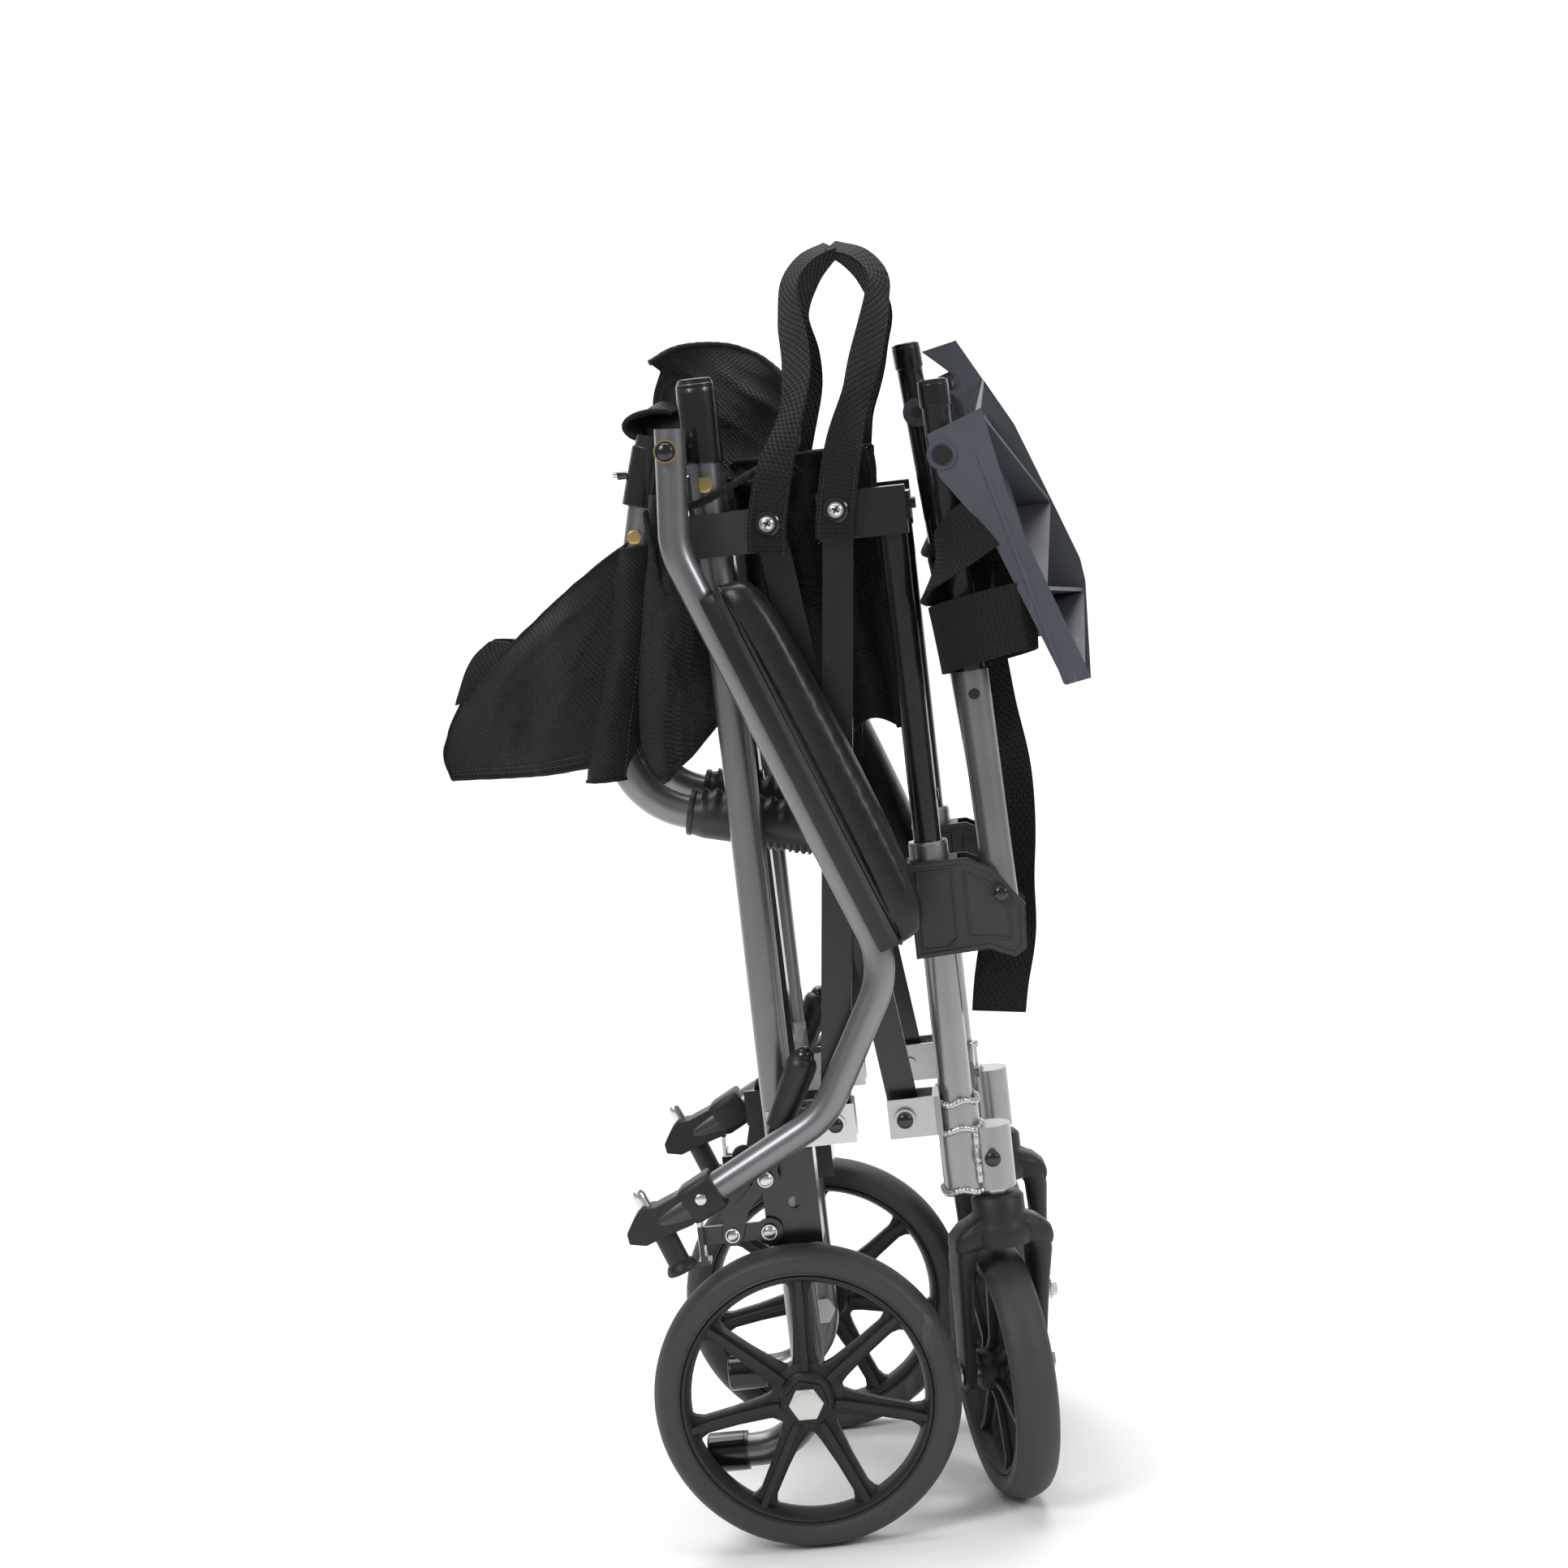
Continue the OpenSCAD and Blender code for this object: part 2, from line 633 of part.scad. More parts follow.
function near_under(z) = lookup(z, [[-152, 80], [-40, 41], [27, 28]]);
function near_tread(z) = lookup(z, [[-153, 63], [-54, 26], [-2, 23]]);
function far_under(z) = lookup(z, [[-159, 82], [-94, 85], [-79, 83], [-43, 70], [14, 49], [45, 32]]);
function far_tread(z) = lookup(z, [[-157, 66], [-62, 42], [23, 31]]);

// One rib of the footplate, from height za on the near wall to zb on the far wall.
module plate_rib(za, zb, skin = 1.3) {
    hull() {
        rod([near_under(za) - 1.5, plate_y[0] + 2, za], [near_tread(za) + 1, plate_y[0] + 2, za], skin);
        rod([far_under(zb) - 1.5, plate_y[1] - 2, zb], [far_tread(zb) + 1, plate_y[1] - 2, zb], skin);
    }
}

// Ribbed footplate with a cheek each side of the hanger's inner tube.
module footplate(side) {
    color([0.2, 0.22, 0.26]) place(side) hang_frame(hang_tilt(side))
        translate([0, 0, 285 + hang_out(side)]) rotate([0, hang_tilt(side), 0]) difference() {
            union() {
                translate([0, -11.5, 0]) rotate([90, 0, 0]) linear_extrude(8) polygon(near_wall);
                translate([0, plate_y[1], 0]) rotate([90, 0, 0]) linear_extrude(4) polygon(far_wall);
                translate([0, 18, 0]) rotate([90, 0, 0]) cylinder(r = 10, h = 6.5);
                block([0, 11.5, -9], [34, 18, 6]);
                plate_tread();
                for (z = [[24, 44], [24, -40], [-92, -40], [-92, -100], [-146, -100], [-150, -156]])
                    plate_rib(z[0], z[1]);
            }
            translate([0, 30, 0]) rotate([90, 0, 0]) cylinder(r = pin_r + run, h = 60);
            block([-12, -11.4, -12], [13, 11.4, 60]);
        }
}

// The flat sheet that the foot rests on.
module plate_tread() {
    hull() for (c = [[near_tread(-2), plate_y[0] + 1, -2], [near_tread(-153), plate_y[0] + 1, -153],
            [far_tread(23), plate_y[1] - 1, 23], [far_tread(-157), plate_y[1] - 1, -157]])
        translate(c) sphere(1.6, $fn = 8);
}

// ---- soft pieces ------------------------------------------------------------------------

seat_edge = [-70, 712];         // where the seat hangs from, [y, z]
seat_seam = [-2.8, 508];        // where its two halves meet

// One fabric leaf of the seat between two places along X.
module seat_leaf(side, x0, x1) {
    d = unit(seat_seam - seat_edge) * 2.2;
    n = [-d[1], d[0]];
    color([0.05, 0.05, 0.05]) place(side) translate([x0, 0, 0]) rotate([90, 0, 90])
        linear_extrude(x1 - x0) polygon([seat_edge + n, seat_edge - n, seat_seam - n, seat_seam + n]);
}

module seat_rear(side) {
    seat_leaf(side, 16, 57);
}

module seat_front(side) {
    seat_leaf(side, 58, 102);
}

// Half of the back, flaring behind the folded handle to the seam in the middle.
module back_panel(side) {
    color([0.05, 0.05, 0.06]) place(side) hull() {
        translate([-72, -52, 650]) sphere(3, $fn = 12);
        translate([-105, -52, 524]) sphere(3, $fn = 12);
        translate([-193, -5, 537]) sphere(3, $fn = 12);
        translate([-152, -5, 600]) sphere(3, $fn = 12);
    }
}

strap_w = 28;

// A flat run of webbing between two points at one y, as wide as w in the side plane.
module webbing(a, b, y, w) {
    v = b - a;
    n = unit([-v[1], v[0]]) * w / 2;
    translate([0, y, 0]) rotate([90, 0, 0]) linear_extrude(2.4) polygon([a + n, a - n, b - n, b + n]);
}

// Carry strap: the rear half rises from the rear block, the front half from the front block.
module strap_half(side, foot, knee, top, y) {
    color([0.06, 0.06, 0.06]) place(side) {
        webbing(foot, knee, y, strap_w);
        webbing(knee, top, y, strap_w);
    }
}

module strap_rear(side) {
    strap_half(side, [35, 660], [50, 740], [74, 828], -post_y - 20.4);
}

module strap_front(side) {
    strap_half(side, [84, 658], [94, 740], [78, 828], -post_y - 23.2);
}

// Calf strap between the two hangers, slack in the folded state.
module calf_strap() {
    color([0.06, 0.06, 0.06]) place() {
        block([172, -post_y, 500], [174.5, post_y, 540]);
    }
}

rear_post(right);  // rear_post_r
rear_post(left);  // rear_post_l
post_hardware(right);  // post_hardware_r
post_hardware(left);  // post_hardware_l
brake_housing(right);  // brake_housing_r
brake_housing(left);  // brake_housing_l
brake_lever(right);  // brake_lever_r
brake_lever(left);  // brake_lever_l
brake_shoe(right);  // brake_shoe_r
brake_shoe(left);  // brake_shoe_l
rear_wheel(right);  // rear_wheel_r
rear_wheel(left);  // rear_wheel_l
rear_tyre(right);  // rear_tyre_r
rear_tyre(left);  // rear_tyre_l
rear_block(right);  // rear_block_r
rear_block(left);  // rear_block_l
side_link_a(right);  // side_link_a_r
side_link_a(left);  // side_link_a_l
side_link_b(right);  // side_link_b_r
side_link_b(left);  // side_link_b_l
rear_link_a();
rear_link_b();
front_link_a();
front_link_b();
front_leg(right);  // front_leg_r
front_leg(left);  // front_leg_l
front_slide(right);  // front_slide_r
front_slide(left);  // front_slide_l
caster_fork(right);  // caster_fork_r
caster_fork(left);  // caster_fork_l
caster_wheel(right);  // caster_wheel_r
caster_wheel(left);  // caster_wheel_l
arm_frame(right);  // arm_frame_r
arm_frame(left);  // arm_frame_l
arm_pad(right);  // arm_pad_r
arm_pad(left);  // arm_pad_l
arm_pin(right);  // arm_pin_r
arm_pin(left);  // arm_pin_l
cane(right);  // cane_r
cane(left);  // cane_l
cane_grip(right);  // cane_grip_r
cane_grip(left);  // cane_grip_l
footrest_bracket(right);  // footrest_bracket_r
footrest_bracket(left);  // footrest_bracket_l
hanger(right);  // hanger_r
hanger(left);  // hanger_l
footplate(right);  // footplate_r
footplate(left);  // footplate_l
seat_rear(right);  // seat_r_rear
seat_front(right);  // seat_r_front
seat_rear(left);  // seat_l_rear
seat_front(left);  // seat_l_front
back_panel(right);  // back_panel_r
back_panel(left);  // back_panel_l
strap_rear(right);  // strap_r_rear
strap_front(right);  // strap_r_front
strap_rear(left);  // strap_l_rear
strap_front(left);  // strap_l_front
calf_strap();
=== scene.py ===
"""A folded transport wheelchair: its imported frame, dressed with tyres, pads, fabric and webbing."""

import logging
import math
from dataclasses import dataclass, replace
from enum import Enum
from typing import Callable, ClassVar, Iterable, Sequence

import bmesh
import bpy
from mathutils import Matrix, Vector, noise


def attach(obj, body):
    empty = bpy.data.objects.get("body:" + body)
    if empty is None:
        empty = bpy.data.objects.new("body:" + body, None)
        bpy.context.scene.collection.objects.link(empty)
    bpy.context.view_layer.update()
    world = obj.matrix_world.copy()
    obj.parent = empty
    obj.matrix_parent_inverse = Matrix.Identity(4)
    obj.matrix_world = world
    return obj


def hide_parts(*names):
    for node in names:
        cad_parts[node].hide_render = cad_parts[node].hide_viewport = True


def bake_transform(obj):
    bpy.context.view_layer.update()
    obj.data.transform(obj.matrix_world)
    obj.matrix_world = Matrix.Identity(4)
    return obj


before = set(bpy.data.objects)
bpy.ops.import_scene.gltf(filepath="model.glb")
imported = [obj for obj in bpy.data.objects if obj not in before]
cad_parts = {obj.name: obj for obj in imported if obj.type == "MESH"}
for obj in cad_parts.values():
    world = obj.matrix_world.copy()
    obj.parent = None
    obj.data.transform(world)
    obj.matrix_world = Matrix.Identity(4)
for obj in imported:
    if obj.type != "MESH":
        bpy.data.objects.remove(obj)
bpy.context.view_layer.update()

LOG = logging.getLogger("wheelchair")
MM = 0.001
MID_X, MID_Y = 21.3, 29.3       # the drawing's origin is this far from the object's, in mm
POST_Y, ARM_Y, CANE_Y, WHEEL_Y = 92.0, 131.0, 62.0, 124.0
WHEEL_R, CASTER_R = 101.5, 89.0
TUBE_R = 11.0
CLOTH_THICK, WEB_THICK = 0.9, 1.8
ROUND, HEXAGON = 24, 6          # corners of a round head and of a nut
SMOOTH_ANGLE = math.radians(33.0)
Point = tuple[float, float, float]
Flat = tuple[float, float]


class Side(Enum):
    """Which side of the chair a piece belongs to, with its sign along Y."""

    RIGHT = ("r", -1.0)
    LEFT = ("l", 1.0)

    @property
    def tag(self) -> str:
        """The letter that ends the names of this side's bodies."""
        return self.value[0]

    @property
    def sign(self) -> float:
        """-1 on the rider's right, 1 on the left."""
        return self.value[1]


# ---- shader groups -----------------------------------------------------------------------


class Group:
    """A shader node group being built: named inputs and outputs, and short ways to wire nodes."""

    def __init__(self, name: str, inputs: dict[str, object], outputs: Sequence[str]) -> None:
        """Makes the group.

        Args:
            name: The group's name.
            inputs: Input names with their default values; a tuple makes a vector input.
            outputs: Names of the value outputs.
        """
        self.tree = bpy.data.node_groups.new(name, "ShaderNodeTree")
        for key, value in inputs.items():
            kind = "NodeSocketVector" if isinstance(value, tuple) else "NodeSocketFloat"
            made = self.tree.interface.new_socket(key, in_out="INPUT", socket_type=kind)
            made.default_value = value
        for key in outputs:
            self.tree.interface.new_socket(key, in_out="OUTPUT", socket_type="NodeSocketFloat")
        self.into = self.tree.nodes.new("NodeGroupInput")
        self.out = self.tree.nodes.new("NodeGroupOutput")

    def node(self, kind: str, links: dict | None = None, **settings: object) -> bpy.types.Node:
        """Adds a node.

        Args:
            kind: The node's type.
            links: Input index or name to an output socket or a value.
            **settings: Attributes set on the node.

        Returns:
            The new node.
        """
        return add_node(self.tree, kind, links, **settings)

    def maths(self, operation: str, a: object, b: object = 0.0, c: object = 0.0) -> object:
        """One Math node's output."""
        return self.node("ShaderNodeMath", {0: a, 1: b, 2: c}, operation=operation).outputs[0]

    def give(self, name: str, socket: object) -> None:
        """Wires a socket to one of the group's outputs."""
        self.tree.links.new(socket, self.out.inputs[name])


def add_node(tree: bpy.types.NodeTree, kind: str, links: dict | None = None,
             **settings: object) -> bpy.types.Node:
    """Adds a node to a tree, with its settings, values and links.

    Args:
        tree: The node tree.
        kind: The node's type.
        links: Input index or name to an output socket or a value.
        **settings: Attributes set on the node.

    Returns:
        The new node.
    """
    made = tree.nodes.new(kind)
    for key, value in settings.items():
        setattr(made, key, value)
    for key, value in (links or {}).items():
        if isinstance(value, bpy.types.NodeSocket):
            tree.links.new(value, made.inputs[key])
        else:
            made.inputs[key].default_value = value
    return made


def grain_group() -> bpy.types.NodeTree:
    """Fine mottling and orange peel on object coordinates: a Height, and a random mottle from 0 to 1.

    Returns:
        The group's tree.
    """
    g = Group("fine_grain", {"Scale": 400.0, "Broad": 12.0}, ("Height", "ToneAndShade"))
    where = g.node("ShaderNodeTexCoord").outputs["Object"]
    fine = g.node("ShaderNodeTexNoise", {"Vector": where, "Scale": g.into.outputs["Scale"],
                                         "Detail": 3.0})
    broad = g.node("ShaderNodeTexNoise", {"Vector": where, "Scale": g.into.outputs["Broad"],
                                          "Detail": 5.0, "Roughness": 0.6})
    g.give("Height", fine.outputs[0])
    g.give("ToneAndShade", g.node("ShaderNodeMapRange", {0: broad.outputs[0], 1: 0.3, 2: 0.7}).outputs[0])
    return g.tree


def wear_group() -> bpy.types.NodeTree:
    """Scuffs and fine scratches on object coordinates, as a Mask from 0 to 1.

    Returns:
        The group's tree.
    """
    g = Group("scuffs", {"Scale": 60.0, "Amount": 0.3}, ("Mask",))
    where = g.node("ShaderNodeTexCoord").outputs["Object"]
    stretched = g.node("ShaderNodeMapping", {"Vector": where, "Scale": (1.0, 1.0, 0.18)})
    patch = g.node("ShaderNodeTexNoise", {"Vector": where, "Scale": 14.0, "Detail": 4.0})
    line = g.node("ShaderNodeTexNoise", {"Vector": stretched.outputs[0],
                                         "Scale": g.into.outputs["Scale"], "Detail": 8.0,
                                         "Roughness": 0.75})
    both = g.maths("MULTIPLY", patch.outputs[0], line.outputs[0])
    low = g.maths("SUBTRACT", 0.42, g.maths("MULTIPLY", g.into.outputs["Amount"], 0.16))
    high = g.maths("ADD", low, 0.09)
    g.give("Mask", g.node("ShaderNodeMapRange", {0: both, 1: low, 2: high}).outputs[0])
    return g.tree


def weave_group() -> bpy.types.NodeTree:
    """A plain basket weave on the cloth's own UV, which is in metres: Height, and a painted shade
    that darkens the hollows between threads and lightens their crowns.

    Returns:
        The group's tree.
    """
    g = Group("basket_weave", {"Threads": 900.0, "Length": 1.0}, ("Height", "ToneAndShade"))
    uv = g.node("ShaderNodeUVMap", uv_map="cloth").outputs[0]
    apart = g.node("ShaderNodeSeparateXYZ", {0: uv})
    u = g.maths("MULTIPLY", apart.outputs[0], g.into.outputs["Threads"])
    v = g.maths("MULTIPLY", g.maths("MULTIPLY", apart.outputs[1], g.into.outputs["Threads"]),
                g.into.outputs["Length"])
    bump_u = g.maths("ABSOLUTE", g.maths("SINE", g.maths("MULTIPLY", u, math.pi)))
    bump_v = g.maths("ABSOLUTE", g.maths("SINE", g.maths("MULTIPLY", v, math.pi)))
    odd = g.maths("MODULO", g.maths("ADD", g.maths("FLOOR", u), g.maths("FLOOR", v)), 2.0)
    over = g.maths("GREATER_THAN", g.maths("ABSOLUTE", odd), 0.5)
    pick = g.node("ShaderNodeMix", {0: over, 2: bump_u, 3: bump_v})
    fuzz = g.node("ShaderNodeTexNoise", {"Vector": uv, "Scale": 350.0, "Detail": 4.0})
    g.give("Height", pick.outputs[0])
    # painted shade: the colour follows the threads' height, dark in the hollows and light on the
    # crowns
    g.give("ToneAndShade", g.maths("MULTIPLY", pick.outputs[0], g.maths("ADD", fuzz.outputs[0], 0.4)))
    return g.tree


def zone_group() -> bpy.types.NodeTree:
    """A Mask that is 1 inside a box between two corners, in object coordinates.

    Returns:
        The group's tree.
    """
    g = Group("zone", {"Low": (-1.0, -1.0, -1.0), "High": (1.0, 1.0, 1.0)}, ("Mask",))
    where = g.node("ShaderNodeTexCoord").outputs["Object"]
    mask: object = 1.0
    for first, second in ((where, g.into.outputs["Low"]), (g.into.outputs["High"], where)):
        gap = g.node("ShaderNodeVectorMath", {0: first, 1: second}, operation="SUBTRACT")
        apart = g.node("ShaderNodeSeparateXYZ", {0: gap.outputs[0]})
        for axis in range(3):
            mask = g.maths("MULTIPLY", mask, g.maths("GREATER_THAN", apart.outputs[axis], 0.0))
    g.give("Mask", mask)
    return g.tree


GROUPS: dict[str, bpy.types.NodeTree] = {}


# ---- finishes ----------------------------------------------------------------------------


@dataclass(frozen=True)
class Finish:
    """A surface finish and the record slot it belongs to."""

    name: str
    slot: str
    colour: tuple[float, float, float]
    rough: float
    metallic: float = 0.0
    coat: float = 0.0
    sheen: float = 0.0
    specular: float = 0.5
    grain: float = 500.0
    depth: float = 0.00006
    # how far the colour swings with the detail: random mottle on grained finishes, painted shade
    # between threads on woven ones
    tone_and_shade: float = 0.2
    wear: float = 0.0
    worn: tuple[float, float, float] = (0.5, 0.5, 0.5)
    threads: float = 0.0
    thread_ratio: float = 1.0
    other: tuple[float, float, float] | None = None
    zones: tuple[tuple[Point, Point], ...] = ()
    other_rough: float = 0.4
    other_metal: float = 0.0
    COAT_ROUGH: ClassVar[float] = 0.18
    BUMP: ClassVar[float] = 0.8

    def material(self) -> bpy.types.Material:
        """The material, built once.

        Returns:
            The Blender material of this finish.
        """
        made = bpy.data.materials.get(self.name)
        if made:
            return made
        made = bpy.data.materials.new(self.name)
        made.use_nodes = True
        tree = made.node_tree
        shader = tree.nodes["Principled BSDF"]
        shader.inputs["Coat Weight"].default_value = self.coat
        shader.inputs["Coat Roughness"].default_value = self.COAT_ROUGH
        shader.inputs["Sheen Weight"].default_value = self.sheen
        shader.inputs["Specular IOR Level"].default_value = self.specular
        if self.threads:
            detail = self._group(tree, "basket_weave", Threads=self.threads,
                                 Length=self.thread_ratio)
        else:
            detail = self._group(tree, "fine_grain", Scale=self.grain)
        # dark and light ends of the colour; on woven finishes they paint shade in the thread hollows
        # and light on the crowns
        dark = tuple(c * (1.0 - self.tone_and_shade) for c in self.colour) + (1.0,)
        light = tuple(min(1.0, c * (1.0 + self.tone_and_shade)) for c in self.colour) + (1.0,)
        colour = self._mix(tree, detail.outputs["ToneAndShade"], dark, light)
        rough: object = add_node(tree, "ShaderNodeMapRange", {
            0: detail.outputs["ToneAndShade"], 3: self.rough * 0.9, 4: self.rough * 1.12}).outputs[0]
        metal: object = self.metallic
        if self.wear:
            mask = self._group(tree, "scuffs", Amount=self.wear).outputs["Mask"]
            colour = self._mix(tree, mask, colour, self.worn + (1.0,))
            rough = add_node(tree, "ShaderNodeMix", {0: mask, 2: rough, 3: 0.5}).outputs[0]
        if self.other:
            mask = self._zone_mask(tree)
            colour = self._mix(tree, mask, colour, self.other + (1.0,))
            rough = add_node(tree, "ShaderNodeMix",
                             {0: mask, 2: rough, 3: self.other_rough}).outputs[0]
            metal = add_node(tree, "ShaderNodeMix", {0: mask, 2: self.metallic,
                                                     3: self.other_metal}).outputs[0]
        for key, value in (("Base Color", colour), ("Roughness", rough), ("Metallic", metal)):
            if isinstance(value, bpy.types.NodeSocket):
                tree.links.new(value, shader.inputs[key])
            else:
                shader.inputs[key].default_value = value
        bump = add_node(tree, "ShaderNodeBump", {"Height": detail.outputs["Height"],
                                                 "Distance": self.depth,
                                                 "Strength": self.BUMP})
        tree.links.new(bump.outputs[0], shader.inputs["Normal"])
        return made

    def _zone_mask(self, tree: bpy.types.NodeTree) -> bpy.types.NodeSocket:
        """The mask of all the zones that carry the other colour.

        Args:
            tree: The material's tree.

        Returns:
            The mask's socket.
        """
        mask = None
        for low, high in self.zones:
            one = self._group(tree, "zone", Low=low, High=high).outputs["Mask"]
            mask = one if mask is None else add_node(
                tree, "ShaderNodeMath", {0: mask, 1: one}, operation="MAXIMUM").outputs[0]
        return mask

    @staticmethod
    def _group(tree: bpy.types.NodeTree, name: str, **values: object) -> bpy.types.Node:
        """Places a shared group with its own values.

        Args:
            tree: The material's tree.
            name: The group's key in GROUPS.
            **values: Its inputs by name.

        Returns:
            The group's node.
        """
        made = add_node(tree, "ShaderNodeGroup", node_tree=GROUPS[name])
        for key, value in values.items():
            made.inputs[key].default_value = value
        return made

    @staticmethod
    def _mix(tree: bpy.types.NodeTree, factor: object, a: object, b: object) -> object:
        """A colour mix of a and b."""
        return add_node(tree, "ShaderNodeMix", {0: factor, 6: a, 7: b},
                        data_type="RGBA").outputs[2]


def at(x: float, y: float, z: float) -> Point:
    """A point of the drawing, in mm, in the object's frame in metres."""
    return ((x - MID_X) * MM, (y - MID_Y) * MM, z * MM)


def zone(low: Point, high: Point) -> tuple[Point, Point]:
    """A zone for Finish, from corners in the drawing's millimetres to object coordinates."""
    return at(*low), at(*high)


BLACK = (0.012, 0.012, 0.013)
FAR = 400.0
PEWTER = Finish("pewter_paint", "pewter_tube", (0.19, 0.19, 0.2), 0.34, metallic=0.8, coat=0.35,
                grain=1500.0, depth=0.00002, tone_and_shade=0.1, wear=0.16, worn=(0.42, 0.42, 0.43))
POST = replace(PEWTER, name="post_paint", other=BLACK, other_rough=0.3,
               zones=(zone((-FAR, -FAR, 714.2), (FAR, FAR, FAR * 3)),
                      zone((-FAR, -FAR, 20), (-46.2, FAR, 90))))
ARM = replace(PEWTER, name="arm_paint", other=(0.02, 0.02, 0.022), other_rough=0.38,
              zones=(zone((-FAR, -FAR, 200), (-46.0, FAR, 268)),))
CANE = replace(PEWTER, name="cane_paint", other=BLACK, other_rough=0.22,
               zones=(zone((-FAR, -FAR, 697), (FAR, FAR, FAR * 3)),))
HANGER = replace(PEWTER, name="hanger_paint", other=BLACK, other_rough=0.2,
                 zones=(zone((-FAR, -FAR, 562.5), (FAR, FAR, FAR * 3)),))
LEG = replace(PEWTER, name="leg_paint", colour=(0.3, 0.3, 0.31), rough=0.3, metallic=0.9,
              coat=0.3, worn=(0.45, 0.45, 0.46), other=(0.48, 0.48, 0.49), other_rough=0.3,
              other_metal=1.0, zones=(zone((-FAR, -FAR, 258), (102.8, FAR, 292)),))
ZINC = Finish("bright_zinc", "zinc", (0.62, 0.62, 0.63), 0.27, metallic=1.0, grain=900.0,
              depth=0.00001, tone_and_shade=0.04, wear=0.02, worn=(0.52, 0.52, 0.53))
BOLT = Finish("dull_bolt", "zinc", (0.62, 0.62, 0.6), 0.42, metallic=0.75, grain=1200.0,
              depth=0.00006, tone_and_shade=0.12, wear=0.2, worn=(0.4, 0.39, 0.37))
BRASS = Finish("yellow_zinc", "zinc", (0.55, 0.4, 0.17), 0.3, metallic=1.0, grain=900.0,
               depth=0.00003, tone_and_shade=0.1)
STEEL = Finish("black_powder_coat", "black_steel", (0.006, 0.006, 0.006), 0.24, coat=0.35,
               grain=1100.0, depth=0.00004, tone_and_shade=0.2, wear=0.22, worn=(0.07, 0.06, 0.055))
PLASTIC = Finish("moulded_black", "black_plastic", (0.016, 0.0165, 0.0175), 0.45,
                 specular=0.32, grain=2200.0, depth=0.00005, tone_and_shade=0.16, wear=0.12,
                 worn=(0.05, 0.05, 0.053))
BLOCK = Finish("moulded_block", "black_plastic", (0.022, 0.024, 0.024), 0.46, grain=2000.0,
               depth=0.00006, tone_and_shade=0.2, wear=0.2, worn=(0.06, 0.06, 0.06))
TYRE = Finish("grey_rubber", "tyre", (0.034, 0.035, 0.037), 0.56, specular=0.4, grain=1300.0,
              depth=0.00008, tone_and_shade=0.14, wear=0.3, worn=(0.085, 0.085, 0.087))
RUBBER = Finish("grip_rubber", "grip", (0.012, 0.012, 0.0125), 0.4, grain=2400.0, depth=0.00007,
                tone_and_shade=0.2, wear=0.15, worn=(0.05, 0.05, 0.05))
VINYL = Finish("pad_vinyl", "vinyl", (0.0085, 0.0085, 0.009), 0.33, coat=0.06, specular=0.35,
               grain=1100.0, depth=0.00018, tone_and_shade=0.2, wear=0.14, worn=(0.03, 0.03, 0.03))
TRAY = Finish("footplate_blue_grey", "footplate", (0.05, 0.056, 0.07), 0.5, grain=1500.0,
              depth=0.00009, tone_and_shade=0.12, wear=0.32, worn=(0.14, 0.15, 0.17))
# the woven finishes' strong colour swing is painted shade in the hollows between threads and lighter
# thread crowns
WEBBING = Finish("webbing_weave", "webbing", (0.008, 0.0078, 0.0075), 0.72, sheen=0.05,
                 specular=0.16, threads=480.0, thread_ratio=0.7, depth=0.0008, tone_and_shade=0.85)
NYLON = Finish("ballistic_nylon", "nylon", (0.0075, 0.0075, 0.0078), 0.5, sheen=0.04,
               specular=0.2, threads=560.0, depth=0.0009, tone_and_shade=0.85)
BINDING = Finish("bound_hem", "nylon", (0.007, 0.007, 0.007), 0.66, sheen=0.04, specular=0.2,
                 threads=900.0, thread_ratio=0.5, depth=0.0004, tone_and_shade=0.7)
THREAD = Finish("sewing_thread", "nylon", (0.03, 0.03, 0.03), 0.6, grain=3000.0, depth=0.00004)
PLUG = Finish("glossy_plug", "black_plastic", (0.008, 0.008, 0.009), 0.16, coat=0.3, grain=600.0,
              depth=0.00001, tone_and_shade=0.1)
WELD = Finish("weld_bead", "pewter_tube", (0.5, 0.5, 0.5), 0.26, metallic=0.95, grain=1600.0,
              depth=0.0002, tone_and_shade=0.25)
FLOOR = Finish("pale_floor", "", (0.86, 0.86, 0.86), 0.8, grain=40.0, depth=0.00002, tone_and_shade=0.01)


# ---- mesh drawing ------------------------------------------------------------------------


def smooth_path(points: Sequence[Point], steps: int = 8) -> list[Vector]:
    """A curve through points, by Catmull and Rom's rule.

    Args:
        points: The points, in mm.
        steps: Pieces between two points.

    Returns:
        The finer points.
    """
    p = [Vector(q) for q in points]
    if len(p) < 3:
        return [p[0].lerp(p[-1], i / steps) for i in range(steps + 1)]
    p = [2 * p[0] - p[1], *p, 2 * p[-1] - p[-2]]
    out = []
    for i in range(1, len(p) - 2):
        for k in range(steps):
            t = k / steps
            a, b, c, d = p[i - 1], p[i], p[i + 1], p[i + 2]
            out.append(0.5 * (2 * b + (c - a) * t + (2 * a - 5 * b + 4 * c - d) * t * t
                              + (3 * b - a - 3 * c + d) * t ** 3))
    out.append(p[-2])
    return out


def smooth(low: float, high: float, value: float) -> float:
    """0 below low, 1 above high, and a smooth step between them."""
    t = min(1.0, max(0.0, (value - low) / (high - low)))
    return t * t * (3 - 2 * t)


